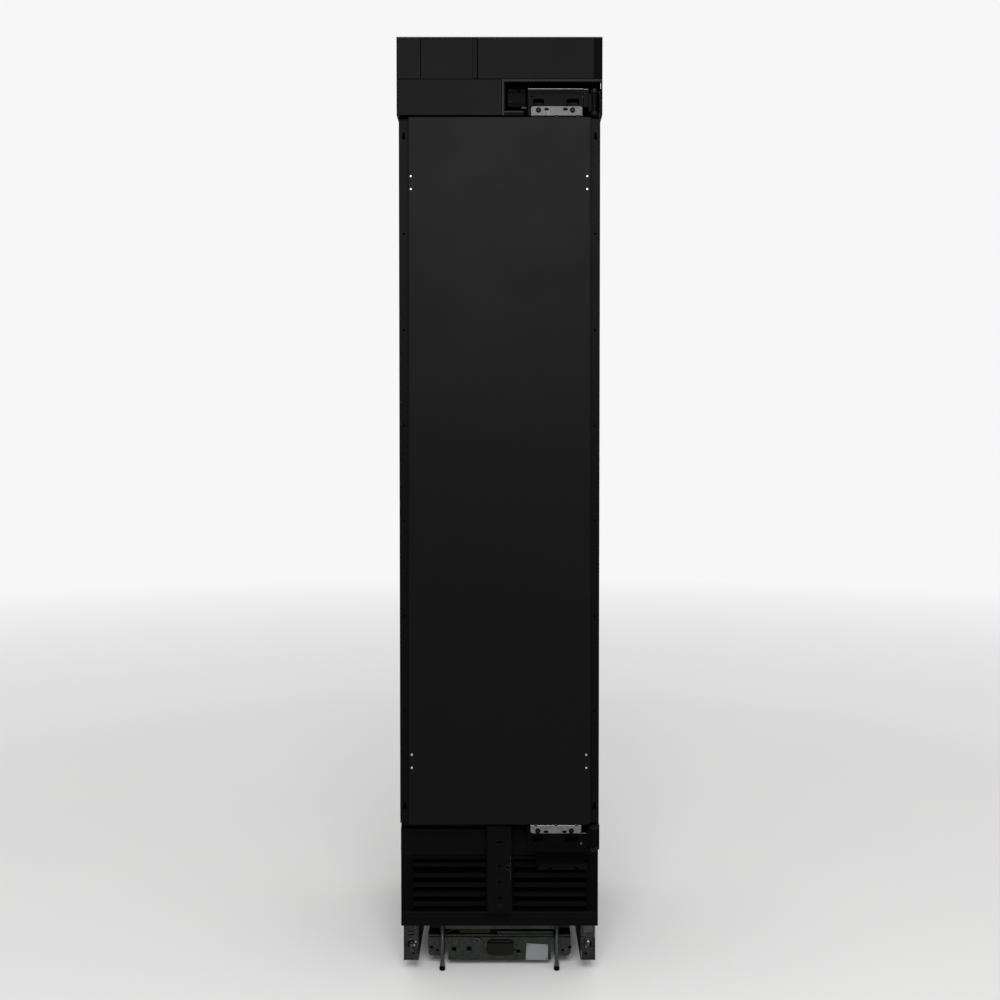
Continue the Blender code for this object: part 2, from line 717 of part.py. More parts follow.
def hinge_pin(name, levels):
    """Pin through both lugs and the knuckle, with a head on the far lug."""
    way = 1 if levels["far"] > levels["plate"] else -1
    start = levels["near_lug"]
    head = levels["far_lug"] + way * GAP
    low, high = sorted((start, head + way * SHEET))
    pin = bar(name, "Z", (PIN_X, PIN_Y), PIN_RADIUS, low, high, "steel")
    low, high = sorted((head, head + way * HOUSING_CLEARANCE))
    cap = bar(name + "_head", "Z", (PIN_X, PIN_Y), PIN_RADIUS + SHEET * 2, low, high)
    return fuse(pin, cap)


def hinge_housing(name, levels):
    """Black hinge body on the door, with two windows in its face and the knuckle at its right end."""
    right = HOUSING_RIGHT
    ys = (FRONT + HOUSING_SETBACK, FRONT + HOUSING_SETBACK + HOUSING_DEPTH)
    heights = sorted((levels["housing"], levels["far"]))
    way = 1 if levels["far"] > levels["plate"] else -1
    body = block(name, (HOUSING_LEFT, right), ys, heights, "black_plastic")
    room = LUG_THICKNESS + GAP
    knuckle_heights = sorted((levels["near_lug"] + way * room, levels["far_lug"] - way * room))
    knuckle = bar(name + "_knuckle", "Z", (PIN_X, PIN_Y), KNUCKLE_RADIUS, *knuckle_heights)
    web = block(
        name + "_web",
        (right - SHEET, PIN_X),
        (PIN_Y - KNUCKLE_RADIUS * KNUCKLE_WEB_SHARE, PIN_Y + KNUCKLE_RADIUS * KNUCKLE_WEB_SHARE),
        knuckle_heights,
    )
    bore = bar(
        name + "_bore",
        "Z",
        (PIN_X, PIN_Y),
        PIN_RADIUS + GAP,
        knuckle_heights[0] - OVERRUN,
        knuckle_heights[1] + OVERRUN,
    )
    step = block(
        name + "_step",
        (right - HOUSING_STEP_LENGTH, right + OVERRUN),
        (ys[0] - OVERRUN, ys[0] + HOUSING_STEP),
        (heights[0] - OVERRUN, heights[1] + OVERRUN),
    )
    length = right - HOUSING_LEFT
    window_low = levels["plate"] + way * (HINGE_PLATE_HEIGHT + SHEET)
    windows = [
        block(
            name + "_window",
            (HOUSING_LEFT + length * start, HOUSING_LEFT + length * end),
            (ys[0] - OVERRUN, ys[0] + WINDOW_DEPTH),
            (window_low, window_low + way * WINDOW_HEIGHT),
        )
        for start, end in WINDOW_SHARES
    ]
    carve(body, step)
    fuse(body, knuckle, web)
    return carve(body, bore, *windows)


def hinge_plate(name, levels):
    """Zinc angle between the door's edge and the housing, with bolt holes and slots in its face."""
    way = 1 if levels["far"] > levels["plate"] else -1
    start = levels["plate"]
    front = FRONT + HOUSING_SETBACK - GAP - HINGE_PLATE
    left, right = HINGE_PLATE_LEFT, HINGE_PLATE_RIGHT
    far = start + way * HINGE_PLATE_HEIGHT
    cut = HINGE_PLATE_CORNER
    outline = [
        (left, start),
        (right, start),
        (right, far - way * cut),
        (right - cut, far),
        (left + cut, far),
        (left, far - way * cut),
    ]
    plate = prism(name, outline, "Y", front, front + HINGE_PLATE, "zinc")
    foot = block(
        name + "_foot",
        (left, right),
        (front + HINGE_PLATE / 2, FRONT + HOUSING_SETBACK + HOUSING_DEPTH),
        (start, start + way * HINGE_PLATE),
    )
    fuse(plate, foot)
    through = (front - OVERRUN, front + HINGE_PLATE + GAP / 2)
    slot_low = start + way * HINGE_PLATE_HEIGHT * PLATE_SLOT_RISE_SHARE
    for share in PLATE_SLOT_SHARES:
        middle = left + (right - left) * share
        slot = block(
            name + "_slot",
            (middle - PLATE_SLOT_LENGTH / 2, middle + PLATE_SLOT_LENGTH / 2),
            through,
            (slot_low, slot_low + way * PLATE_SLOT_HEIGHT),
        )
        carve(plate, slot)
    return plate


# Front below the door


def toe_grille():
    """Louvred grille: a frame with a plain middle behind the strut, and level slats each side of it."""
    ys = (LOWER_FRONT, CABINET_FRONT - GAP)
    zs = (GRILLE_BOTTOM, CROSS_BOTTOM - GAP)
    grille = block("toe_grille", (-HALF, HALF), ys, zs, "black_plastic")
    middle = STRUT_WIDTH / 2 + GRILLE_RAIL
    openings = [
        (-HALF + STILE, -middle),
        (middle, HALF - STILE),
    ]
    through = (ys[0] - OVERRUN, ys[1] + OVERRUN)
    inner_heights = (zs[0] + GRILLE_RAIL, zs[1] - GRILLE_RAIL)
    carve(grille, *[block("grille_opening", xs, through, inner_heights) for xs in openings])
    inner_span = inner_heights[1] - inner_heights[0]
    first = inner_heights[0] + (inner_span - SLAT_PITCH * (SLAT_COUNT - 1)) / 2
    slope = SLAT_HEIGHT
    rear = ys[0] + SLAT_HEIGHT
    for xs in openings:
        for i in range(SLAT_COUNT):
            centre = first + i * SLAT_PITCH
            low = centre - SLAT_HEIGHT / 2
            outline = [
                (ys[0] + SHEET, low),
                (ys[0] + SHEET, low + SLAT_THICKNESS),
                (rear, low + slope + SLAT_THICKNESS / 2),
                (rear + SHEET, low + slope - SLAT_THICKNESS / 2),
            ]
            slat = prism("slat", outline, "X", xs[0] - SHEET, xs[1] + SHEET)
            fuse(grille, slat)
    return grille


def centre_strut():
    """Upright channel in front of the grille's middle, with a row of holes."""
    ys = (FRONT + STRUT_SETBACK, LOWER_FRONT - GAP)
    half = STRUT_WIDTH / 2
    zs = (STRUT_BOTTOM, STRUT_TOP)
    strut = block("centre_strut", (-half, half), ys, zs, "black_paint")
    hollow = block(
        "strut_hollow",
        (-half + STRUT_SHEET, half - STRUT_SHEET),
        (ys[0] + STRUT_SHEET, ys[1] + OVERRUN),
        (zs[0] - OVERRUN, zs[1] - STRUT_SHEET),
    )
    carve(strut, hollow)
    through = (ys[0] - OVERRUN, ys[0] + STRUT_SHEET + OVERRUN)
    span = zs[1] - zs[0]
    for share in STRUT_HOLE_SHARES:
        place = (0.0, zs[0] + span * share)
        carve(strut, bar("strut_hole", "Y", place, STRUT_HOLE_RADIUS, *through, sides=8))
    return strut


def base_pan():
    """Floor of the machine compartment, with the plain front rail under the grille."""
    outline = [
        (LOWER_FRONT, DECK_TOP - DECK_SHEET),
        (BACK, DECK_TOP - DECK_SHEET),
        (BACK, DECK_TOP),
        (LOWER_FRONT + DECK_SHEET, DECK_TOP),
        (LOWER_FRONT + DECK_SHEET, GRILLE_BOTTOM - GAP - DECK_SHEET),
        (CABINET_FRONT - GAP, GRILLE_BOTTOM - GAP - DECK_SHEET),
        (CABINET_FRONT - GAP, GRILLE_BOTTOM - GAP),
        (LOWER_FRONT, GRILLE_BOTTOM - GAP),
    ]
    return prism("base_pan", outline, "X", -HALF, HALF, "black_paint")


# Base


def rail_span(side):
    """The two faces of a base rail, outer first."""
    outer = side * (HALF - RAIL_INSET)
    return outer, outer - side * RAIL_WIDTH


def base_rail(name, side):
    """Zinc channel rail with a closed front end, open towards the middle and under the rear lift."""
    outer, inner = rail_span(side)
    front = FRONT + RAIL_FRONT
    top = DECK_TOP - DECK_SHEET - GAP
    rear = BACK - LIFT_BACK_CLEARANCE + ZINC
    rail = block(name, (outer, inner), (front, rear), (RAIL_BOTTOM, top), "zinc")
    hollow = block(
        name + "_hollow",
        (outer - side * ZINC, inner - side * OVERRUN),
        (front + ZINC, rear + OVERRUN),
        (RAIL_BOTTOM + ZINC, top - ZINC),
    )
    lift_room = block(
        name + "_lift_room",
        (outer - side * ZINC, inner - side * OVERRUN),
        (BACK - LIFT_BACK_CLEARANCE - LIFT_LENGTH - NUT_WALL, rear + OVERRUN),
        (RAIL_BOTTOM - OVERRUN, RAIL_BOTTOM + ZINC + OVERRUN),
    )
    bore = bar(
        name + "_bore",
        "Y",
        (adjuster_x(side), ADJUSTER_Z),
        ADJUSTER_RADIUS + GAP,
        front - OVERRUN,
        front + ZINC + OVERRUN,
    )
    return carve(rail, hollow, lift_room, bore)


def adjuster_x(side):
    outer, inner = rail_span(side)
    return (outer - side * ZINC + inner) / 2


def lift_front():
    return BACK - LIFT_BACK_CLEARANCE - LIFT_LENGTH


def adjuster(name, side):
    """Long rod from the hexagon head at the front to the rear lift, which it raises."""
    x = adjuster_x(side)
    front = FRONT + RAIL_FRONT
    ends = (front - HEX_LENGTH, lift_front() - GAP)
    rod = bar(name, "Y", (x, ADJUSTER_Z), ADJUSTER_RADIUS, *ends, "steel", sides=12)
    head = bar(name + "_head", "Y", (x, ADJUSTER_Z), HEX_RADIUS, front - HEX_LENGTH, front - GAP, sides=6)
    fuse(rod, head)
    rod_axis = axis_empty(name + "_axis", (x, front, ADJUSTER_Z), rod)
    return rod_axis


def rear_lift(name, side):
    """Fork that slides in the rail and holds the roller's axle."""
    outer, _ = rail_span(side)
    face = outer - side * (ZINC + GAP)
    width = ROLLER_WIDTH + 2 * (LIFT_CHEEK + GAP)
    ys = (lift_front(), BACK - LIFT_BACK_CLEARANCE)
    middle = (ys[0] + ys[1]) / 2
    low = ROLLER_RADIUS - AXLE_RADIUS * 2
    fork = block(name, (face, face - side * width), ys, (low, LIFT_TOP), "zinc")
    room = block(
        name + "_room",
        (face - side * LIFT_CHEEK, face - side * (width - LIFT_CHEEK)),
        (middle - ROLLER_RADIUS - NUT_WALL, middle + ROLLER_RADIUS + NUT_WALL),
        (low - OVERRUN, ROLLER_RADIUS * 2 + NUT_WALL),
    )
    carve(fork, room)
    near, far = sorted((face - side * LIFT_CHEEK / 2, face - side * (width - LIFT_CHEEK / 2)))
    axle = bar(name + "_axle", "X", (middle, ROLLER_RADIUS), AXLE_RADIUS, near, far, sides=12)
    fuse(fork, axle)
    centre = face - side * width / 2
    roller_low, roller_high = centre - ROLLER_WIDTH / 2, centre + ROLLER_WIDTH / 2
    roller_name = name.replace("rear_lift", "roller")
    roller = bar(
        roller_name,
        "X",
        (middle, ROLLER_RADIUS),
        ROLLER_RADIUS,
        roller_low,
        roller_high,
        "grey_plastic",
        sides=24,
    )
    bore = bar(
        roller_name + "_bore",
        "X",
        (middle, ROLLER_RADIUS),
        AXLE_RADIUS + GAP,
        roller_low - OVERRUN,
        roller_high + OVERRUN,
        sides=12,
    )
    carve(roller, bore)
    axis_empty(roller_name + "_axis", (centre, middle, ROLLER_RADIUS), roller)
    return fork


def bridge():
    """Zinc bridge between the rails: lip under the floor, lower plate, ears and leg nuts."""
    front = FRONT + BRIDGE_FRONT
    lip = FRONT + LIP_FRONT
    rear = front + BRIDGE_DEPTH
    top = DECK_TOP - DECK_SHEET - GAP
    inner_rail = RAIL_INNER - GAP
    plate = block(
        "base_cross_plate",
        (-BRIDGE_WIDTH / 2, BRIDGE_WIDTH / 2),
        (front, front + ZINC),
        (BRIDGE_BOTTOM, BRIDGE_TOP),
        "zinc",
    )
    ear_xs = (-EAR_WIDTH / 2, EAR_WIDTH / 2)
    ears = block("bridge_ears", ear_xs, (front, front + ZINC), (EAR_BOTTOM, BRIDGE_TOP))
    shelf = block("bridge_shelf", ear_xs, (front, rear), (BRIDGE_TOP - ZINC, BRIDGE_TOP))
    web = block("bridge_web", (-inner_rail, inner_rail), (rear - ZINC, rear), (BRIDGE_TOP - ZINC, top))
    roof = block("bridge_roof", (-LIP_WIDTH / 2, LIP_WIDTH / 2), (lip, rear), (top - ZINC, top))
    edge = block("bridge_lip", (-LIP_WIDTH / 2, LIP_WIDTH / 2), (lip, lip + ZINC), (top - LIP_HEIGHT, top))
    fuse(plate, ears, shelf, web, roof, edge)
    leg_y = FRONT + LEG_SETBACK
    for side in (-1, 1):
        reach = LEG_RADIUS + GAP + NUT_WALL
        nut = block(
            "bridge_nut",
            (side * (LEG_X - reach), side * (LEG_X + reach)),
            (leg_y - reach, front + ZINC),
            (BRIDGE_TOP - ZINC, BRIDGE_TOP - ZINC + NUT_THICKNESS),
        )
        fuse(plate, nut)
        bore = bar(
            "bridge_nut_bore",
            "Z",
            (side * LEG_X, leg_y),
            LEG_RADIUS + GAP,
            BRIDGE_TOP - ZINC - OVERRUN,
            BRIDGE_TOP + NUT_THICKNESS + OVERRUN,
            sides=16,
        )
        carve(plate, bore)
    through = (front - OVERRUN, front + ZINC + OVERRUN)
    height = BRIDGE_TOP - BRIDGE_BOTTOM
    for x_share, z_share, radius_share in BRIDGE_HOLE_SHARES:
        place = (BRIDGE_WIDTH / 2 * x_share, BRIDGE_BOTTOM + height * z_share)
        carve(plate, bar("bridge_hole", "Y", place, height * radius_share, *through, sides=12))
    grip = block(
        "bridge_grip",
        [BRIDGE_WIDTH * share for share in GRIP_X_SHARES],
        through,
        [BRIDGE_BOTTOM + height * share for share in GRIP_Z_SHARES],
    )
    return carve(plate, grip)


def leg(name, side):
    """Threaded front leg with a domed foot."""
    foot = [
        (0.0, 0.0),
        (FOOT_RADIUS * FOOT_FLAT_SHARE, 0.0),
        (FOOT_RADIUS, FOOT_HEIGHT * FOOT_RIM_SHARE),
        (FOOT_RADIUS, FOOT_HEIGHT),
        (LEG_RADIUS, FOOT_HEIGHT + LEG_RADIUS / 2),
        (LEG_RADIUS, LEG_TOP - SHEET),
        (LEG_RADIUS - SHEET, LEG_TOP),
        (0.0, LEG_TOP),
    ]
    place = (side * LEG_X, FRONT + LEG_SETBACK, 0.0)
    return turned(name, foot, place, "zinc", sides=16)


# Inside the cavity


def fan(name, centre, radius, hub, depth, finish):
    """Pitched blades on a hub, turning about a front-to-back axis; centre is the hub's middle."""
    x, y, z = centre
    wheel = bar(name, "Y", (x, z), hub, y - depth / 2, y + depth / 2, finish)
    for i in range(BLADE_COUNT):
        form = bmesh.new()
        bmesh.ops.create_cube(form, size=1.0)
        length = radius - hub / 2
        thickness = depth * BLADE_THICKNESS_SHARE
        width = depth * BLADE_WIDTH_SHARE
        bmesh.ops.scale(form, vec=(length, thickness, width), verts=form.verts)
        pitch = Matrix.Rotation(math.radians(BLADE_ANGLE), 4, "X")
        outward = Matrix.Translation((hub / 2 + length / 2, 0.0, 0.0))
        turn = Matrix.Rotation(2 * math.pi * i / BLADE_COUNT, 4, "Y")
        bmesh.ops.transform(form, matrix=turn @ outward @ pitch, verts=form.verts)
        blade = put(name + "_blade", form, centre, None)
        fuse(wheel, blade)
    axis_empty(name + "_axis", centre, wheel)
    return wheel


def motor_mount(whole, centre, front, plate_back, opening):
    """A motor held behind a round opening by two crossed struts, fused to the plate round it."""
    x, z = centre
    motor = bar(whole.name + "_motor", "Y", centre, MOTOR_RADIUS, front, front + MOTOR_DEPTH)
    back = front + MOTOR_DEPTH
    post_centre = opening + STRUT_ROD
    cross_zs = (z - STRUT_ROD / 2, z + STRUT_ROD / 2)
    cross = block(
        whole.name + "_cross",
        (x - post_centre, x + post_centre),
        (back - STRUT_ROD, back - SHEET),
        cross_zs,
    )
    posts = [
        block(
            whole.name + "_post",
            (x + side * (post_centre - STRUT_ROD / 2), x + side * (post_centre + STRUT_ROD / 2)),
            (plate_back - SHEET, back),
            (z - STRUT_ROD, z + STRUT_ROD),
        )
        for side in (-1, 1)
    ]
    return fuse(whole, motor, cross, *posts)


def evaporator():
    """Cover that closes off the rear of the cavity, the finned coil behind it, and its fan."""
    half = CAVITY_HALF - GAP
    zs = (CAVITY_BOTTOM + GAP, CAVITY_TOP - GAP)
    plate_back = COVER_FRONT + COVER_SHEET
    cover = block("evaporator_cover", (-half, half), (COVER_FRONT, plate_back), zs, "white_plastic")
    through = (COVER_FRONT - OVERRUN, plate_back + OVERRUN)
    opening = FAN_RADIUS + FAN_CLEARANCE
    carve(cover, bar("cover_opening", "Y", (0.0, EVAPORATOR_FAN_Z), opening, *through, sides=32))
    return_low = CAVITY_BOTTOM + VENT_PITCH
    outlet_low = SHELF_UPPER_Z + ICE_BIN_HEIGHT / 2
    returns = vent_slots("cover_return", half * RETURN_WIDTH_SHARE, through, return_low, COVER_SLOT_COUNT)
    outlets = vent_slots("cover_outlet", half * OUTLET_WIDTH_SHARE, through, outlet_low, COVER_SLOT_COUNT)
    carve(cover, *returns, *outlets)
    motor_front = plate_back + FAN_DEPTH + GAP
    motor_mount(cover, (0.0, EVAPORATOR_FAN_Z), motor_front, plate_back, opening)
    hub = (0.0, plate_back + FAN_DEPTH / 2, EVAPORATOR_FAN_Z)
    fan("evaporator_fan", hub, FAN_RADIUS, FAN_HUB_RADIUS, FAN_DEPTH, "black_plastic")
    coil_half = CAVITY_HALF - COIL_MARGIN
    coil_front = plate_back + COIL_MARGIN
    coil = block(
        "evaporator_coil",
        (-coil_half, coil_half),
        (coil_front, CAVITY_BACK - GAP),
        (COIL_Z, COIL_Z + COIL_HEIGHT),
        "aluminium",
    )
    pitch = COIL_HEIGHT / COIL_GROOVE_COUNT
    for i in range(COIL_GROOVE_COUNT):
        low = COIL_Z + pitch * (i + (1 - GROOVE_SHARE) / 2)
        groove = block(
            "coil_groove",
            (-coil_half - OVERRUN, coil_half + OVERRUN),
            (coil_front - OVERRUN, coil_front + COIL_MARGIN),
            (low, low + pitch * GROOVE_SHARE),
        )
        carve(coil, groove)


def shelf(name, top):
    """Tempered shelf with a raised rear edge, resting on the liner's ribs."""
    half = CAVITY_HALF - GAP
    ys = (STORE_FRONT, COVER_FRONT - GAP)
    low = top + GAP
    plate = block(name, (-half, half), ys, (low, low + SHELF_THICKNESS), "glass")
    rim = block(
        name + "_rim",
        (-half, half),
        (ys[1] - SHELF_THICKNESS, ys[1]),
        (low, low + SHELF_THICKNESS + SHELF_RIM),
    )
    return fuse(plate, rim)


def drawer():
    """Deep pull-out drawer hung by its side rims on the lower ribs."""
    half = CAVITY_HALF - RIB_DEPTH - GAP
    ys = (STORE_FRONT, COVER_FRONT - SLIDE_ROOM)
    box = open_box("freezer_drawer", (-half, half), ys, (DRAWER_Z, DRAWER_TOP), BIN_WALL, "clear_plastic")
    for side in (-1, 1):
        rim = block(
            "drawer_rim",
            (side * (half - BIN_WALL / 2), side * (CAVITY_HALF - GAP)),
            ys,
            (DRAWER_RIB_Z + GAP, DRAWER_RIB_Z + GAP + BIN_WALL),
        )
        fuse(box, rim)
    return box


def ice_bin():
    """Bin that slides out on the upper shelf and catches the ice."""
    half = CAVITY_HALF - RIB_DEPTH - GAP
    ys = (STORE_FRONT, COVER_FRONT - SLIDE_ROOM - SHELF_THICKNESS)
    return open_box("ice_bin", (-half, half), ys, (ICE_BIN_Z, ICE_BIN_TOP), BIN_WALL, "clear_plastic")


def ice_maker():
    """Ice mould with its drive head, the turning ejector, and the arm that feels how full the bin is."""
    left = -CAVITY_HALF + ICE_LEFT
    right = left + ICE_LENGTH
    rear = COVER_FRONT - GAP
    front = rear - ICE_DEPTH
    top = CAVITY_TOP - ICE_TOP_CLEARANCE
    low = top - ICE_HEIGHT
    shaft_y = (front + rear) / 2
    shaft_z = low + TROUGH_RADIUS + BIN_WALL
    body = block("ice_maker", (left, right), (front, rear), (low, top), "grey_plastic")
    head = left + ICE_HEAD
    outline = ring_points((shaft_y, shaft_z), TROUGH_RADIUS, 13, math.pi, math.pi)
    outline += [(shaft_y + TROUGH_RADIUS, top + OVERRUN), (shaft_y - TROUGH_RADIUS, top + OVERRUN)]
    trough = prism("ice_trough", outline, "X", head, right - BIN_WALL)
    mouth = block(
        "ice_mouth",
        (head, right - BIN_WALL),
        (front - OVERRUN, shaft_y),
        (shaft_z + SHAFT_RADIUS, top - BIN_WALL),
    )
    carve(body, trough, mouth)
    shaft_place = (shaft_y, shaft_z)
    bore_ends = (right - BIN_WALL * 2, right + OVERRUN)
    carve(body, bar("ice_shaft_bore", "X", shaft_place, SHAFT_RADIUS + GAP, *bore_ends))
    shaft = bar("ice_ejector", "X", shaft_place, SHAFT_RADIUS, head + GAP, right, "white_plastic", sides=12)
    room = right - BIN_WALL - head
    for i in range(FINGER_COUNT):
        x = head + room * (i + 0.5) / FINGER_COUNT
        finger = block(
            "ice_finger",
            (x - SHAFT_RADIUS / 2, x + SHAFT_RADIUS / 2),
            (shaft_y - SHAFT_RADIUS / 2, shaft_y + SHAFT_RADIUS / 2),
            (shaft_z, shaft_z + FINGER_LENGTH),
        )
        fuse(shaft, finger)
    axis_empty("ice_ejector_axis", (head, shaft_y, shaft_z), shaft)
    arm_y = front - ARM_RADIUS - GAP
    arm_z = low + SHAFT_RADIUS * 2
    arm_left, arm_right = head, head + ARM_REACH
    pivot = bar("ice_maker_arm", "X", (arm_y, arm_z), ARM_RADIUS, arm_left, arm_right, "steel", sides=8)
    foot_z = arm_z - ARM_DROP
    legs = [
        bar("arm_drop", "Z", (x, arm_y), ARM_RADIUS, foot_z, arm_z, sides=8)
        for x in (arm_left + ARM_RADIUS, arm_right - ARM_RADIUS)
    ]
    foot = bar("arm_foot", "X", (arm_y, foot_z), ARM_RADIUS, arm_left, arm_right, sides=8)
    fuse(pivot, *legs, foot)
    axis_empty("ice_maker_arm_axis", (arm_left, arm_y, arm_z), pivot)


# Door


def stepped(name, shrink, back, finish=None):
    """The door's solid form: a wide rear part and a narrower raised front, drawn in by one amount."""
    zs = (DOOR_BOTTOM + shrink, DOOR_TOP - shrink)
    rear_half = DOOR_WIDTH / 2 - shrink
    front_half = RAISED_WIDTH / 2 - shrink
    step = FRONT + RAISED_DEPTH + shrink
    outline = [
        (-rear_half, back),
        (-rear_half, step),
        (-front_half, step),
        (-front_half, FRONT + shrink),
        (front_half, FRONT + shrink),
        (front_half, step),
        (rear_half, step),
        (rear_half, back),
    ]
    return prism(name, outline, "Z", *zs, finish)


def door_body():
    """Outer pan, foam, liner with its raised border, and gasket."""
    pan_back = DOOR_BACK - LINER - GAP
    outer = stepped("door_pan", 0.0, pan_back, "black_paint")
    carve(outer, stepped("door_pan_hollow", SHEET, pan_back + OVERRUN))
    foam = stepped("door_foam", SHEET + GAP, pan_back - GAP, "foam")
    half = DOOR_WIDTH / 2
    sheet = block(
        "door_liner",
        (-half, half),
        (DOOR_BACK - LINER, DOOR_BACK),
        (DOOR_BOTTOM, DOOR_TOP),
        "white_plastic",
    )
    border = (DOOR_BOTTOM + DYKE_END, DOOR_TOP - DYKE_END)
    dyke = block(
        "door_dyke",
        (-DYKE_LEFT, DYKE_RIGHT),
        (DOOR_BACK - LINER / 2, DOOR_BACK + DYKE_DEPTH),
        border,
    )
    basin = block(
        "door_basin",
        (-DYKE_LEFT + DYKE_WIDTH, DYKE_RIGHT - DYKE_WIDTH),
        (DOOR_BACK, DOOR_BACK + DYKE_DEPTH + OVERRUN),
        (border[0] + DYKE_WIDTH, border[1] - DYKE_WIDTH),
    )
    fuse(sheet, carve(dyke, basin))
    seal_half = HALF - STEEL_FLANGE + GASKET_WIDTH
    seal_low = (CAVITY_BOTTOM + FOAM_BOTTOM) / 2
    seal_high = (CAVITY_TOP + FOAM_TOP) / 2
    seal_ys = (DOOR_BACK + GAP, CABINET_FRONT - GAP)
    gasket = block(
        "door_gasket",
        (-seal_half, seal_half),
        seal_ys,
        (seal_low - GASKET_WIDTH / 2, seal_high + GASKET_WIDTH / 2),
        "gasket_rubber",
    )
    inside = block(
        "gasket_inside",
        (-seal_half + GASKET_WIDTH, seal_half - GASKET_WIDTH),
        (seal_ys[0] - OVERRUN, seal_ys[1] + OVERRUN),
        (seal_low + GASKET_WIDTH / 2, seal_high - GASKET_WIDTH / 2),
    )
    carve(gasket, inside)
    return [outer, foam, sheet, gasket]


def door_trim(name, side):
    """Side strip in front of the door's flange, with keyholes at its ends and screw holes between."""
    inner = side * (RAISED_WIDTH / 2 + GAP)
    outer = side * DOOR_WIDTH / 2
    back = FRONT + RAISED_DEPTH - GAP
    strip = block(name, (inner, outer), (back - TRIM_SHEET, back), (DOOR_BOTTOM, DOOR_TOP), "black_paint")
    through = (back - TRIM_SHEET - OVERRUN, back + GAP / 2)
    centre = (inner + outer) / 2
    for low in (DOOR_BOTTOM + KEYHOLE_INSET, DOOR_TOP - KEYHOLE_INSET - KEYHOLE_HEIGHT):
        slot = block(
            name + "_slot",
            (centre - KEYHOLE_WIDTH / 2, centre + KEYHOLE_WIDTH / 2),
            through,
            (low + KEYHOLE_WIDTH / 2, low + KEYHOLE_HEIGHT),
        )
        round_place = (centre, low + KEYHOLE_WIDTH)
        round_end = bar(name + "_keyhole", "Y", round_place, KEYHOLE_RADIUS, *through, sides=10)
        carve(strip, slot, round_end)
    first = (DOOR_BOTTOM + DOOR_TOP) / 2 - TRIM_PITCH * (TRIM_HOLE_COUNT - 1) / 2
    for i in range(TRIM_HOLE_COUNT):
        place = (centre, first + i * TRIM_PITCH)
        carve(strip, bar(name + "_hole", "Y", place, TRIM_HOLE_RADIUS, *through, sides=8))
    return strip


def door_bins():
    """Open bins hung between the raised borders of the door liner."""
    xs = (-DYKE_LEFT + DYKE_WIDTH + GAP, DYKE_RIGHT - DYKE_WIDTH - GAP)
    ys = (DOOR_BACK + GAP, BIN_INNER)
    lower_low = DRAWER_TOP + LOWER_BIN_RISE
    lower_top = lower_low + DOOR_BIN_HEIGHT
    lows = {
        "door_bin_lower": lower_low,
        "door_bin_middle": lower_top + (ICE_BIN_Z - lower_top) * MIDDLE_BIN_SHARE,
        "door_bin_upper": ICE_BIN_TOP + UPPER_BIN_RISE,
    }
    return [
        open_box(name, xs, ys, (low, low + DOOR_BIN_HEIGHT), BIN_WALL, "clear_plastic")
        for name, low in lows.items()
    ]


# Machine compartment


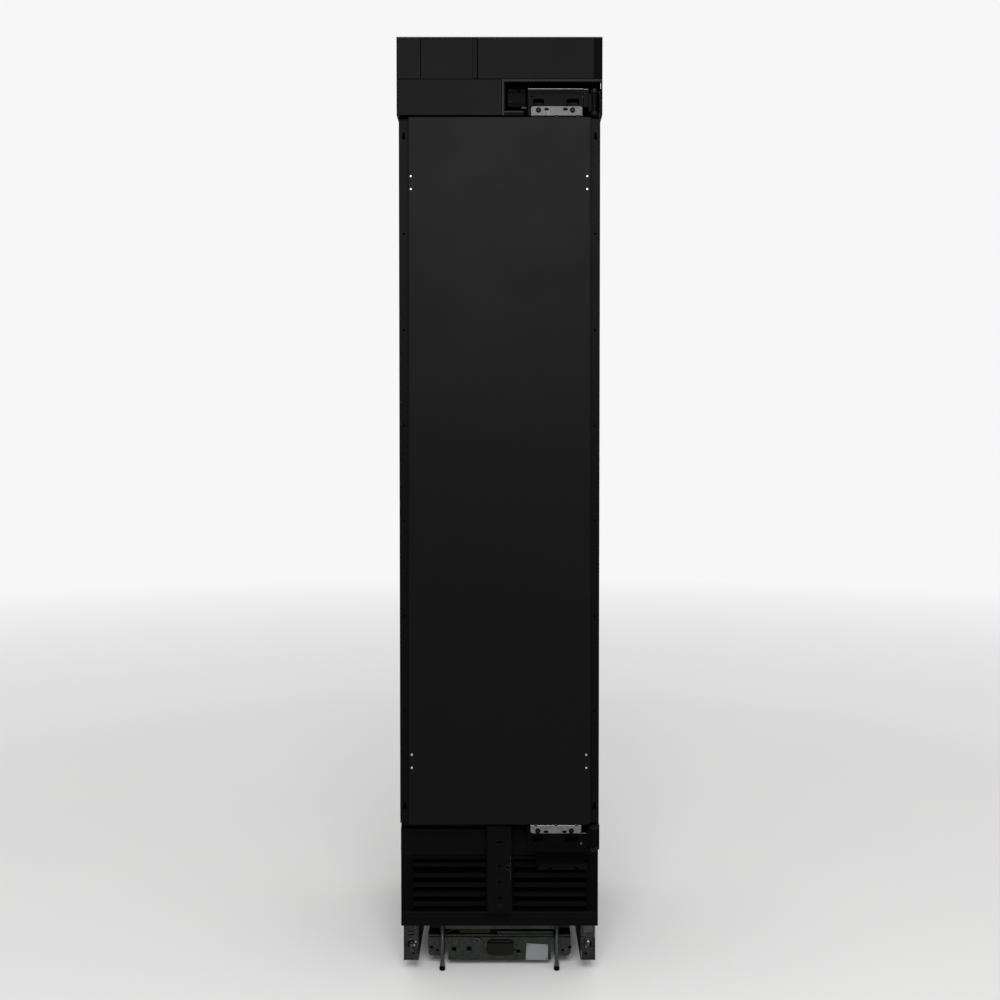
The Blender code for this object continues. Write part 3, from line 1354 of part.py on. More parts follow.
def machine_compartment():
    """Compressor, finned condenser, its fan and shroud, and the tray for melt water."""
    floor = DECK_TOP + GAP
    radius = COMPRESSOR_RADIUS
    profile = [(0.0, 0.0)]
    profile += [(radius * out, radius * up) for out, up in COMPRESSOR_BASE_SHARES]
    profile += [(radius * out, COMPRESSOR_HEIGHT - radius * down) for out, down in COMPRESSOR_DOME_SHARES]
    profile += [(0.0, COMPRESSOR_HEIGHT)]
    lift = ZINC * 2
    can = turned("compressor", profile, (COMPRESSOR_X, COMPRESSOR_Y, floor + lift), "compressor_black")
    foot_x, foot_y = (radius * share for share in COMPRESSOR_FOOT_SHARES)
    foot = block(
        "compressor_foot",
        (COMPRESSOR_X - foot_x, COMPRESSOR_X + foot_x),
        (COMPRESSOR_Y - foot_y, COMPRESSOR_Y + foot_y),
        (floor, floor + lift + ZINC),
    )
    fuse(can, foot)
    front = CABINET_FRONT + SHEET + GAP
    xs = (CONDENSER_LEFT, CONDENSER_LEFT + CONDENSER_WIDTH)
    zs = (floor, floor + CONDENSER_HEIGHT)
    condenser = block("condenser_coil", xs, (front, front + CONDENSER_DEPTH), zs, "aluminium")
    pitch = CONDENSER_HEIGHT / CONDENSER_GROOVE_COUNT
    for i in range(CONDENSER_GROOVE_COUNT):
        low = zs[0] + pitch * (i + (1 - GROOVE_SHARE) / 2)
        groove = block(
            "condenser_groove",
            (xs[0] - OVERRUN, xs[1] + OVERRUN),
            (front - OVERRUN, front + CONDENSER_DEPTH / 2),
            (low, low + pitch * GROOVE_SHARE),
        )
        carve(condenser, groove)
    shroud_front = front + CONDENSER_DEPTH + GAP
    plate_front = shroud_front + SHROUD_SPACE
    plate_back = plate_front + COVER_SHEET
    shroud = block("condenser_shroud", xs, (shroud_front, plate_back), zs, "black_plastic")
    hollow = block(
        "shroud_hollow",
        (xs[0] + COVER_SHEET, xs[1] - COVER_SHEET),
        (shroud_front - OVERRUN, plate_front),
        (zs[0] + COVER_SHEET, zs[1] - COVER_SHEET),
    )
    centre = ((xs[0] + xs[1]) / 2, (zs[0] + zs[1]) / 2)
    opening = CONDENSER_FAN_RADIUS + FAN_CLEARANCE
    mouth = bar("shroud_mouth", "Y", centre, opening, plate_front - OVERRUN, plate_back + OVERRUN, sides=32)
    carve(shroud, hollow, mouth)
    motor_mount(shroud, centre, plate_back + FAN_DEPTH + GAP, plate_back, opening)
    fan(
        "condenser_fan",
        (centre[0], plate_back + FAN_DEPTH / 2, centre[1]),
        CONDENSER_FAN_RADIUS,
        FAN_HUB_RADIUS,
        FAN_DEPTH,
        "black_plastic",
    )
    tray_rear = BACK - SHEET - SLIDE_ROOM
    tray_left = -INNER_HALF + SLIDE_ROOM
    open_box(
        "drain_pan",
        (tray_left, COMPRESSOR_X - foot_x - TRAY_ROOM),
        (tray_rear - TRAY_LENGTH, tray_rear),
        (floor, floor + TRAY_HEIGHT),
        BIN_WALL,
        "black_plastic",
    )


def control_box():
    """Electronics box in the compartment above the insulation."""
    left = -INNER_HALF + SLIDE_ROOM
    rear = BACK - SHEET - SLIDE_ROOM
    return block(
        "control_box",
        (left, left + CONTROL_WIDTH),
        (rear - CONTROL_LENGTH, rear),
        (FOAM_TOP + GAP, FOAM_TOP + GAP + CONTROL_HEIGHT),
        "grey_plastic",
        bevel=ZINC,
    )


# Assembly

side_panel("side_panel_left", -1)
side_panel("side_panel_right", 1)
top_panel()
rear_panels()
insulation()
liner()
fascia()
hinge_pocket()
control_box()
pan(
    "cross_panel",
    (-HALF, HALF),
    (LOWER_FRONT, CABINET_FRONT - GAP),
    (CROSS_BOTTOM, PANEL_TOP),
    PANEL_SHEET,
    "black_paint",
)
toe_grille()
centre_strut()
base_pan()
bridge()
for side, word in ((-1, "left"), (1, "right")):
    base_rail("base_rail_" + word, side)
    adjuster("adjuster_" + word, side)
    rear_lift("rear_lift_" + word, side)
    leg("leg_" + word, side)

evaporator()
shelf("shelf_upper", SHELF_UPPER_Z)
shelf("shelf_middle", SHELF_MIDDLE_Z)
drawer()
ice_bin()
ice_maker()
machine_compartment()

upper = hinge_levels(DOOR_TOP, 1)
lower = hinge_levels(DOOR_BOTTOM, -1)
hinge_leaf("hinge_leaf_top", upper, CABINET_FRONT - GAP - POCKET_SHEET - GAP)
hinge_leaf("hinge_leaf_bottom", lower, LOWER_FRONT - GAP)
hinge_pin("hinge_pin_top", upper)
hinge_pin("hinge_pin_bottom", lower)

door_pieces = door_body()
door_pieces += [door_trim("door_trim_left", -1), door_trim("door_trim_right", 1)]
door_pieces += door_bins()
door_pieces += [hinge_housing("hinge_housing_top", upper), hinge_housing("hinge_housing_bottom", lower)]
door_pieces += [hinge_plate("hinge_plate_top", upper), hinge_plate("hinge_plate_bottom", lower)]
axis_empty("door_axis", (PIN_X, PIN_Y, DOOR_BOTTOM), *door_pieces)
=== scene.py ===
import json
import math

import bmesh
import bpy
import numpy as np
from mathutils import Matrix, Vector


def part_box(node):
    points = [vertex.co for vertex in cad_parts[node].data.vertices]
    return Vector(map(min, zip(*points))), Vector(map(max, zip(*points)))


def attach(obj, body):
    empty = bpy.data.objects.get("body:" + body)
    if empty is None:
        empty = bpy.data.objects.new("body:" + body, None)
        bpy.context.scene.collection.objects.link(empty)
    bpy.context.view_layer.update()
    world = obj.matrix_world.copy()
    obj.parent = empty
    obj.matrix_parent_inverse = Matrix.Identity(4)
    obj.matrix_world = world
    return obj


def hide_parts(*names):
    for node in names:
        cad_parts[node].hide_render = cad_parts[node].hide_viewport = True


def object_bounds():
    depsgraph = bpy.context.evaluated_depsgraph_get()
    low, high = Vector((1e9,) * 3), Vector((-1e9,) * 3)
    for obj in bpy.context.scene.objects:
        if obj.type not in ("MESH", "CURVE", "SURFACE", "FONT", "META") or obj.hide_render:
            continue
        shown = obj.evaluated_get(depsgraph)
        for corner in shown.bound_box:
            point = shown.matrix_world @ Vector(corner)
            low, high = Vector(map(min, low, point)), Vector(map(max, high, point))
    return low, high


# Looks of a panel-ready column freezer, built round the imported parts. Metres, +Z up, front towards -Y.

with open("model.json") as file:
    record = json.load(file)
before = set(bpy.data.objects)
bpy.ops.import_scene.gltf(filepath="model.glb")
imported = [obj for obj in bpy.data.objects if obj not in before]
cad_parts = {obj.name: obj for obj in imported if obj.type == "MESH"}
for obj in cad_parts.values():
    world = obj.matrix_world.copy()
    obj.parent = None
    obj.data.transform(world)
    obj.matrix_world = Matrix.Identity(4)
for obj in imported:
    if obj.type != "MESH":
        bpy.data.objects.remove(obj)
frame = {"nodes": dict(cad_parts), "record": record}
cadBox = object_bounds()
nodes = frame["nodes"]
print("frame:", len(nodes), "parts")

front = cadBox[0].y
back = cadBox[1].y
halfWidth = cadBox[1].x
hair = 0.0003        # between pieces that touch
sides = ((-1, "left"), (1, "right"))


# a node's box as its x, y and z spans
def spans(node):
    return list(zip(*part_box(node)))


def drawn(span, by):
    return span[0] + by, span[1] - by


# middle of a node's box on two axes
def middleOf(node, axes):
    low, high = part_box(node)
    return np.array([(low["XYZ".index(axis)] + high["XYZ".index(axis)]) / 2 for axis in axes])


# Shapes: each is (points, faces), an (n, 3) array and a list of (k, m) arrays of point numbers


# flat points on the two other axes, in their order, set at a place along the axis
def onAxis(axis, flat, place):
    first, second = flat[..., 0], flat[..., 1]
    place = np.broadcast_to(place, first.shape)
    order = {"X": (place, first, second), "Y": (first, place, second), "Z": (first, second, place)}
    return np.stack(order[axis], -1)


# rows of points, each row closed on itself, joined row to row; loop joins the last row to the first
def loft(rings, loop=False):
    rows, columns = rings.shape[:2]
    row = np.arange(rows if loop else rows - 1)[:, None]
    column = np.arange(columns)[None, :]
    here, after = row * columns, (row + 1) % rows * columns
    right = (column + 1) % columns
    quads = np.stack([here + column, here + right, after + right, after + column], -1).reshape(-1, 4)
    faces = [quads]
    if not loop:
        faces += [np.arange(columns)[None, ::-1], (rows - 1) * columns + np.arange(columns)[None, :]]
    return rings.reshape(-1, 3), faces


# an open grid of points, for a sheet that Solidify thickens
def sheetGrid(points):
    rows, columns = points.shape[:2]
    here = np.arange(rows - 1)[:, None] * columns + np.arange(columns - 1)[None, :]
    quads = np.stack([here, here + 1, here + columns + 1, here + columns], -1).reshape(-1, 4)
    return points.reshape(-1, 3), [quads]


def joined(shapes):
    points, faces, start = [], [], 0
    for shapePoints, shapeFaces in shapes:
        points.append(shapePoints)
        faces += [rows + start for rows in shapeFaces]
        start += len(shapePoints)
    return np.concatenate(points), faces


def moved(shape, by):
    return shape[0] + np.asarray(by), shape[1]


# each coordinate along one axis is taken to the other side of a level
def mirrored(shape, axis, level=0.0):
    points = shape[0].copy()
    place = "XYZ".index(axis)
    points[:, place] = 2 * level - points[:, place]
    return points, shape[1]


def fullTurn(steps):
    return np.linspace(0, 2 * math.pi, steps, endpoint=False)


def circle(turn):
    return np.stack([np.cos(turn), np.sin(turn)], -1)


# a quarter turn as two shares: 1 - sin t falls from 1 to 0 while 1 - cos t rises from 0 to 1
def quarterTurn(steps):
    turn = np.linspace(0, math.pi / 2, steps)
    return 1 - np.sin(turn), 1 - np.cos(turn)


# rounded rectangle for each row: corner + bend * (cos, sin) over four quarter turns
def frames(lows, highs, bends, steps=5):
    lows, highs = np.asarray(lows, float), np.asarray(highs, float)
    bends = np.asarray(bends, float)[:, None]
    half = (highs - lows) / 2 - bends
    angles = np.linspace(0, math.pi / 2, steps)[None, :] + np.arange(4)[:, None] * math.pi / 2
    signs = np.array([[1, 1], [-1, 1], [-1, -1], [1, -1]])
    corners = ((lows + highs) / 2)[:, None, :] + signs[None] * half[:, None, :]
    arcs = circle(angles)[None] * bends[:, :, None, None]
    return (corners[:, :, None, :] + arcs).reshape(len(lows), -1, 2)


# rounded rectangles inside one another: each row drawn in by its inset, its corner by the same
def roundedRings(low, high, insets, radius, steps=5):
    insets = np.asarray(insets, float)
    if insets.ndim == 1:
        insets = np.stack([insets, insets], -1)
    bends = np.maximum(radius - insets.min(-1), 0.00015)
    return frames(np.asarray(low) + insets, np.asarray(high) - insets, bends, steps)


# inset and place of a rounded rim at both ends, each a quarter turn of the edge's size
def rimRows(low, high, edge, steps=4):
    falls, rises = quarterTurn(steps)
    inset, rise = edge * falls, edge * rises
    return np.concatenate([inset, inset[::-1]]), np.concatenate([low + rise, high - rise[::-1]])


# rounded box: rounded rectangles stacked along one axis, drawn in at both ends
def roundBox(xs, ys, zs, edge, axis="Z", corner=None, steps=4):
    order = {"X": (ys, zs, xs), "Y": (xs, zs, ys), "Z": (xs, ys, zs)}[axis]
    first, second, along = (sorted(span) for span in order)
    insets, places = rimRows(*along, edge, steps)
    rings = roundedRings((first[0], second[0]), (first[1], second[1]), insets, corner or edge, steps)
    return loft(onAxis(axis, rings, places[:, None]))


# outline moved inwards by the mitre of its edge normals, for each inset at once
def insetOutlines(outline, insets):
    outline = np.asarray(outline, float)
    after = np.roll(outline, -1, 0)
    area = (outline[:, 0] * after[:, 1] - outline[:, 1] * after[:, 0]).sum()
    edge = after - outline
    normal = np.stack([edge[:, 1], -edge[:, 0]], -1) / np.linalg.norm(edge, axis=1)[:, None]
    normal *= 1 if area > 0 else -1
    before = np.roll(normal, 1, 0)
    mitre = (normal + before) / (1 + (normal * before).sum(1))[:, None]
    return outline[None] - mitre[None] * np.asarray(insets)[:, None, None]


# plate of any outline with rounded rims
def slab(axis, outline, low, high, edge=0.0003, steps=3):
    insets, places = rimRows(low, high, edge, steps)
    return loft(onAxis(axis, insetOutlines(outline, insets), places[:, None]))


# (radius, place) rows turned about an axis: centre + radius * (cos, sin); places count from the start
def lathe(axis, centre, profile, steps=32, loop=False, start=0.0):
    radius, place = np.asarray(profile, float).T
    flat = np.asarray(centre) + radius[:, None, None] * circle(fullTurn(steps))[None]
    return loft(onAxis(axis, flat, (place + start)[:, None]), loop=loop)


# straight round bar, most often a hole to be cut
def bore(axis, centre, radius, low, high, steps=24):
    return lathe(axis, centre, [(radius, low), (radius, high)], steps)


# one rounded rectangle as an outline; a stadium where the radius is about half the height
def ringOutline(low, high, radius, steps=6):
    return roundedRings(low, high, [0.0], radius, steps)[0]


# stadium through a face that looks along Y
def oval(low, high, radius, near, far, edge=0.0001):
    return slab("Y", ringOutline(low, high, radius), near, far, edge)


# round tube: tangent from the path's own steps, two normals from it and a fixed direction
def tube(path, radius, sides=10, up=(0.0, 0.0, 1.0), loop=False):
    path = np.asarray(path, float)
    tangent = np.roll(path, -1, 0) - np.roll(path, 1, 0) if loop else np.gradient(path, axis=0)
    tangent /= np.linalg.norm(tangent, axis=1)[:, None]
    across = np.cross(tangent, np.asarray(up, float))
    across /= np.linalg.norm(across, axis=1)[:, None]
    other = np.cross(across, tangent)
    turn = fullTurn(sides)
    ring = across[:, None] * np.cos(turn)[None, :, None] + other[:, None] * np.sin(turn)[None, :, None]
    radius = np.broadcast_to(radius, len(path))[:, None, None]
    return loft(path[:, None] + radius * ring, loop=loop)


# smooth route through a few points: Catmull-Rom cubic on each stretch
def smoothPath(points, steps=8):
    points = np.asarray(points, float)
    padded = np.concatenate([2 * points[:1] - points[1:2], points, 2 * points[-1:] - points[-2:-1]])
    t = np.linspace(0, 1, steps, endpoint=False)[None, :, None]
    a, b, c, d = (padded[i : len(padded) - 3 + i][:, None] for i in range(4))
    curve = (2 * b + (c - a) * t + (2 * a - 5 * b + 4 * c - d) * t**2 + (3 * b - a - 3 * c + d) * t**3) / 2
    return np.concatenate([curve.reshape(-1, 3), points[-1:]])


# corners of a flat path rounded: an arc tangent to both legs at each inner point
def filleted(points, radius, steps=5):
    points = np.asarray(points, float)
    rows = [points[:1]]
    for before, here, after in zip(points[:-2], points[1:-1], points[2:]):
        one = (before - here) / np.linalg.norm(before - here)
        two = (after - here) / np.linalg.norm(after - here)
        half = math.acos(np.clip(one @ two, -1, 1)) / 2
        reach = radius / math.tan(half)
        middle = here + (one + two) / np.linalg.norm(one + two) * radius / math.sin(half)
        start, end = here + one * reach - middle, here + two * reach - middle
        a, b = math.atan2(start[1], start[0]), math.atan2(end[1], end[0])
        sweep = (b - a + math.pi) % (2 * math.pi) - math.pi
        angle = a + np.linspace(0, 1, steps) * sweep
        rows.append(middle + radius * circle(angle))
    rows.append(points[-1:])
    return np.concatenate(rows)


# how far each point of a path lies along it, from 0 to 1
def shareAlong(path):
    steps = np.linalg.norm(np.diff(np.asarray(path, float), axis=0), axis=1)
    along = np.concatenate([[0.0], np.cumsum(steps)])
    return along / along[-1]


# one sheet folded along a line: x = u * half width, (y, z) along the rounded fold line
def foldedSheet(line, halves, radius):
    path = filleted(line, radius)
    half = np.interp(shareAlong(path), shareAlong(line), halves)
    x = half[:, None] * np.array([-1.0, 1.0])[None, :]
    places = np.broadcast_to(path[:, None, :], (len(path), 2, 2))
    return sheetGrid(np.concatenate([x[..., None], places], -1))


# folded sheet pan, open at the back: rows over the face, round the bend, along the return and back inside
def panShell(xs, ys, zs, sheet, bend):
    falls, rises = quarterTurn(5)
    outer = np.stack([bend * falls, ys[0] + bend * rises], -1)
    tight = max(bend - sheet, 0.0003)
    inner = np.stack([sheet + tight * falls, ys[0] + sheet + tight * rises], -1)
    rows = np.concatenate([outer, [[0.0, ys[1]], [sheet, ys[1]]], inner[::-1]])
    rings = roundedRings((xs[0], zs[0]), (xs[1], zs[1]), rows[:, 0], bend)
    return loft(onAxis("Y", rings, rows[:, 1][:, None]))


tub = {"wall": 0.003, "rim": 0.002, "rimDrop": 0.006, "draft": 0.002}


# open tray: rows round the foot, up the outside, over the rolled rim, down the inside and across the floor
def tray(xs, ys, zs, corner, foot):
    wall, rim, rimDrop = tub["wall"], tub["rim"], tub["rimDrop"]
    falls, rises = quarterTurn(4)
    lower = rim + tub["draft"]
    bulge = (wall + rim) / 2
    outside = np.stack([lower + foot * falls, zs[0] + foot * rises], -1)
    edge = [[rim, zs[1] - rimDrop], [0.0, zs[1] - rimDrop * 0.9], [0.0, zs[1] - bulge]]
    over = np.linspace(0, math.pi, 7)[1:]
    rolled = np.stack([bulge * (1 - np.cos(over)), zs[1] - bulge * (1 - np.sin(over))], -1)
    inside = np.stack([lower + wall + foot * falls, zs[0] + wall + foot * rises], -1)
    rows = np.concatenate([outside, edge, rolled, inside[::-1]])
    rings = roundedRings((xs[0], ys[0]), (xs[1], ys[1]), rows[:, 0], corner)
    return loft(onAxis("Z", rings, rows[:, 1][:, None]))


# one turned head: rows of a radius, or of a radius for each step, and a height
def head(axis, centre, place, outward, rows, steps):
    spread = np.stack([np.broadcast_to(row[0], steps) for row in rows])
    rise = np.array([row[1] for row in rows])[:, None]
    flat = np.asarray(centre) + spread[..., None] * circle(fullTurn(steps))[None]
    return loft(onAxis(axis, flat, place + outward * rise))


# cosine of the angle from the middle of its sixth: half a hexagon's width over it is its reach
def sixthCosine(steps):
    return np.cos(fullTurn(steps) % (math.pi / 3) - math.pi / 6)


# screw head: a dome whose middle drops to a cross; the cross is a star, |cos 2t| to the sixth
def screwHead(axis, centre, place, outward, radius, height, steps=32):
    star = radius * 0.55 * (0.35 + 0.65 * np.abs(np.cos(2 * fullTurn(steps))) ** 6)
    rows = [(star * 0.25, height * 0.35), (star, height * 0.40), (star, height), (radius * 0.70, height)]
    rows += [(radius * 0.92, height * 0.78), (radius, height * 0.35), (radius, -height * 0.2)]
    return head(axis, centre, place, outward, rows, steps)


# hexagon head, on a washer where that has a radius, and cut round at the rim
def hexHead(axis, centre, place, outward, across, height, washer=0.0, steps=48):
    hexagon = across / 2 / sixthCosine(steps)
    thick = height * 0.22 if washer else 0.0
    rows = []
    if washer:
        rows = [(washer, 0.0), (washer, thick * 0.7), (washer - thick * 0.3, thick)]
    rows += [(hexagon, thick), (hexagon, height * 0.82), (np.minimum(hexagon, across * 0.5), height)]
    rows += [(across * 0.30, height), (across * 0.27, height * 0.93)]
    return head(axis, centre, place, outward, rows, steps)


# socket bolt: a chamfered disc with a six-sided dip in its middle
def socketHead(axis, centre, place, outward, radius, height, steps=36):
    hexagon = radius * 0.42 / sixthCosine(steps)
    rows = [(hexagon * 0.2, height * 0.45), (hexagon, height * 0.45)]
    rows += [(hexagon, height), (radius * 0.80, height)]
    rows += [(radius * 0.95, height * 0.85), (radius, height * 0.5), (radius, 0.0)]
    return head(axis, centre, place, outward, rows, steps)


def meshOf(name, shapes):
    points, faces = joined(shapes)
    corners = np.concatenate([rows.ravel() for rows in faces])
    sizes = np.concatenate([np.full(len(rows), rows.shape[1]) for rows in faces])
    mesh = bpy.data.meshes.new(name)
    mesh.vertices.add(len(points))
    mesh.loops.add(len(corners))
    mesh.polygons.add(len(sizes))
    mesh.vertices.foreach_set("co", points.astype(np.float32).ravel())
    mesh.loops.foreach_set("vertex_index", corners.astype(np.int32))
    mesh.polygons.foreach_set("loop_start", np.concatenate([[0], np.cumsum(sizes)[:-1]]).astype(np.int32))
    mesh.update(calc_edges=True)
    mesh.validate()
    return mesh


# doubles merged, then faces turned outwards
def tidyMesh(mesh):
    form = bmesh.new()
    form.from_mesh(mesh)
    bmesh.ops.remove_doubles(form, verts=form.verts, dist=0.000002)
    bmesh.ops.recalc_face_normals(form, faces=form.faces)
    form.to_mesh(mesh)
    form.free()


def added(name, data):
    made = bpy.data.objects.new(name, data)
    bpy.context.scene.collection.objects.link(made)
    return made


# one modifier, set and applied
def shaped(made, kind, **settings):
    step = made.modifiers.new(kind, kind)
    for key, value in settings.items():
        setattr(step, key, value)
    seen = made.evaluated_get(bpy.context.evaluated_depsgraph_get())
    mesh = bpy.data.meshes.new_from_object(seen)
    made.modifiers.clear()
    made.data = mesh


# holes cut by helper solids, which are removed again
def cutAway(made, shapes):
    helper = added("cutter", meshOf("cutter", shapes))
    tidyMesh(helper.data)
    shaped(made, "BOOLEAN", operation="DIFFERENCE", solver="EXACT", use_self=True, object=helper)
    bpy.data.objects.remove(helper)


def rounded(made, width):
    shaped(made, "BEVEL", width=width, segments=2, limit_method="ANGLE", angle_limit=math.radians(38))


# smooth shading weighted by face area, so that a big flat face stays flat beside its rounded edges
def settle(made, finish, node, body, smooth=32):
    made.data.shade_smooth()
    made.data.set_sharp_from_angle(angle=math.radians(smooth))
    made.data.materials.clear()
    made.data.materials.append(finish)
    shaped(made, "WEIGHTED_NORMAL", keep_sharp=True)
    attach(made, body)
    if node:
        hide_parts(node)


# a new piece: its shapes, its finish, the node it stands for, the body it rides on
def piece(name, shapes, finish, node=None, body="cabinet", cuts=(), smooth=32, bevel=0.0, wall=None):
    made = added(name, meshOf(name, shapes))
    if wall:
        shaped(made, "SOLIDIFY", thickness=wall[0], offset=wall[1], use_even_offset=True)
    tidyMesh(made.data)
    if cuts:
        cutAway(made, cuts)
    if bevel:
        rounded(made, bevel)
    settle(made, finish, node, body, smooth)


# a part's own solid with its edges rounded: doubles merged, flat faces joined, then a bevel
def softened(node, finish, width=0.0005, body="cabinet", cuts=()):
    made = added(node + "_skin", nodes[node].data.copy())
    form = bmesh.new()
    form.from_mesh(made.data)
    bmesh.ops.remove_doubles(form, verts=form.verts, dist=0.00002)
    bmesh.ops.dissolve_limit(form, angle_limit=math.radians(1.0), verts=form.verts, edges=form.edges)
    form.to_mesh(made.data)
    form.free()
    if cuts:
        cutAway(made, cuts)
    rounded(made, width)
    settle(made, finish, node, body)


# Materials


# One socket of a material: arithmetic on it adds Math nodes
class Wire:
    def __init__(self, tree, socket):
        self.tree = tree
        self.socket = socket

    def maths(self, operation, *values):
        made = self.tree.nodes.new("ShaderNodeMath")
        made.operation = operation
        for place, value in enumerate(values):
            feed(self.tree, made.inputs[place], value)
        return Wire(self.tree, made.outputs[0])

    def __add__(self, other):
        return self.maths("ADD", self, other)

    def __sub__(self, other):
        return self.maths("SUBTRACT", self, other)

    def __rsub__(self, other):
        return self.maths("SUBTRACT", other, self)

    def __mul__(self, other):
        return self.maths("MULTIPLY", self, other)

    def __truediv__(self, other):
        return self.maths("DIVIDE", self, other)

    __radd__ = __add__
    __rmul__ = __mul__

    # 0 below the edge, then up to 1 over the soft stretch
    def above(self, edge, soft):
        return self.maths("MINIMUM", 1.0, self.maths("MAXIMUM", 0.0, (self - edge) / soft))


def feed(tree, socket, value):
    if isinstance(value, Wire):
        tree.links.new(value.socket, socket)
    elif isinstance(value, (tuple, list)) and len(value) == 3 and len(socket.default_value) == 4:
        socket.default_value = (*value, 1.0)
    else:
        socket.default_value = value


# A material under its plain name; whatever changes over the surface is fed in through its nodes
class Finish:
    sockets = {
        "colour": "Base Color",
        "gloss": "Specular IOR Level",
        "coat": "Coat Weight",
        "clear": "Transmission Weight",
        "bend": "IOR",
        "glowColour": "Emission Color",
        "glow": "Emission Strength",
    }

    def __init__(self, name, **constants):
        self.material = bpy.data.materials.new(name)
        self.material.use_nodes = True
        self.tree = self.material.node_tree
        self.shader = self.tree.nodes["Principled BSDF"]
        for key, value in constants.items():
            self.put(key, value)
        self.place = self.node("ShaderNodeTexCoord", out="Object")

    def put(self, key, value):
        feed(self.tree, self.shader.inputs[self.sockets.get(key, key.capitalize())], value)

    # a node of any type: settings first, then values or links for its sockets, by name or number
    def node(self, kind, settings=None, sockets=None, out=0):
        made = self.tree.nodes.new(kind)
        for key, value in (settings or {}).items():
            setattr(made, key, value)
        for key, value in (sockets or {}).items():
            feed(self.tree, made.inputs[key], value)
        return Wire(self.tree, made.outputs[out])

    # noise of a scale in 1/m, drawn out where stretch is below 1 on an axis
    def noise(self, scale, detail=2.0, stretch=None, rough=0.5):
        place = self.place
        if stretch:
            place = self.node("ShaderNodeMapping", None, {"Vector": place, "Scale": stretch})
        sockets = {"Vector": place, "Scale": scale, "Detail": detail, "Roughness": rough}
        return self.node("ShaderNodeTexNoise", None, sockets)

    def cells(self, scale, out=0):
        return self.node("ShaderNodeTexVoronoi", None, {"Vector": self.place, "Scale": scale}, out)

    def mix(self, factor, one, two):
        return self.node("ShaderNodeMix", {"data_type": "RGBA"}, {0: factor, 6: one, 7: two}, out=2)

    def grey(self, colour):
        return self.node("ShaderNodeRGBToBW", None, {0: colour})

    def bump(self, height, distance, strength=1.0):
        sockets = {"Height": height, "Distance": distance, "Strength": strength}
        self.put("Normal", self.node("ShaderNodeBump", None, sockets))


# near-black paint: two blacks over a slow cloud, orange peel as fine bump, a little dust in the gloss
def paintFinish(name, low, high, gloss, roughness):
    made = Finish(name, metallic=0.0, gloss=gloss)
    dust = made.noise(310, 2.0).above(0.68, 0.06)
    base = made.mix(made.noise(2.6, 4.0), low, high)
    made.put("colour", made.mix(dust * 0.08, base, (0.06, 0.06, 0.06)))
    made.put("roughness", roughness - 0.07 + made.noise(7, 3.0) * 0.14 + dust * 0.08)
    made.bump(made.noise(620, 1.0) + made.noise(95, 2.0) * 0.6, 0.00004)
    return made.material


# moulded plastic: spark-eroded grain from small cells over soft noise
def plasticFinish(name, low, high, roughness, grain=900, gloss=0.2):
    made = Finish(name, metallic=0.0, gloss=gloss)
    made.put("colour", made.mix(made.noise(14, 3.0), low, high))
    made.put("roughness", roughness - 0.07 + made.noise(60, 3.0) * 0.14)
    made.bump(made.cells(grain) + made.noise(grain * 0.6, 2.0) * 0.5, 0.00005, 0.7)
    return made.material


# galvanised sheet: crystal cells lighten and darken it, slow stains dull it, faint scratches cross it
def zincFinish(name, low, high, spangle=130.0, stain=(0.09, 0.088, 0.070), roughness=0.36, stained=0.5):
    made = Finish(name, metallic=1.0)
    crystal = made.grey(made.cells(spangle, out=1))
    frost = made.noise(spangle * 3.1, 3.0)
    scratch = made.noise(90, 3.0, stretch=(1.0, 1.0, 0.03)).above(0.62, 0.05)
    dull = made.noise(11, 5.0, rough=0.65).above(0.50, 0.22)
    base = made.mix(crystal * 0.8 + frost * 0.25, low, high)
    made.put("colour", made.mix(dull * stained, base, stain))
    made.put("roughness", roughness + crystal * 0.16 + dull * 0.18 - scratch * 0.06)
    made.bump(crystal * 0.6 + frost * 0.4 + scratch * 0.5, 0.00005)
    return made.material


# machined steel: fine lines along the work, from noise drawn out one way
def steelFinish(name, colour, roughness=0.24, stretch=(0.05, 1.0, 1.0)):
    made = Finish(name, metallic=1.0)
    lines = made.noise(700, 3.0, stretch=stretch)
    made.put("colour", made.mix(made.noise(60, 4.0), tuple(c * 0.72 for c in colour), colour))
    made.put("roughness", roughness + lines * 0.12 + made.noise(25, 3.0) * 0.10)
    made.bump(lines, 0.00003)
    return made.material


# light moulding: nearly even, with a faint cloud and a soft low gloss
def lightPlastic(name, low, high, roughness=0.32, grain=260):
    made = Finish(name, metallic=0.0, gloss=0.45)
    made.put("colour", made.mix(made.noise(5, 3.0), low, high))
    made.put("roughness", roughness + made.noise(40, 3.0) * 0.10)
    made.bump(made.noise(grain, 2.0), 0.00003)
    return made.material


# clear moulding: see-through, with faint flow streaks in its gloss
def clearFinish(name, colour, roughness=0.06, clear=0.92):
    made = Finish(name, metallic=0.0, clear=clear, bend=1.46)
    streak = (1.0, 1.0, 0.1)
    made.put("colour", made.mix(made.noise(9, 2.0), colour, tuple(min(1.0, c * 1.08) for c in colour)))
    made.put("roughness", roughness + made.noise(35, 3.0, stretch=streak) * 0.07)
    made.bump(made.noise(60, 2.0, stretch=streak), 0.00003)
    return made.material


# closed-cell foam: cells as bump, and a skin that yellows in patches
def foamFinish():
    made = Finish("insulating foam", metallic=0.0)
    cell = made.cells(420)
    made.put("colour", made.mix(made.noise(8, 4.0), (0.62, 0.52, 0.30), (0.80, 0.72, 0.48)))
    made.put("roughness", 0.82 + cell * 0.15)
    made.bump(cell, 0.0004)
    return made.material


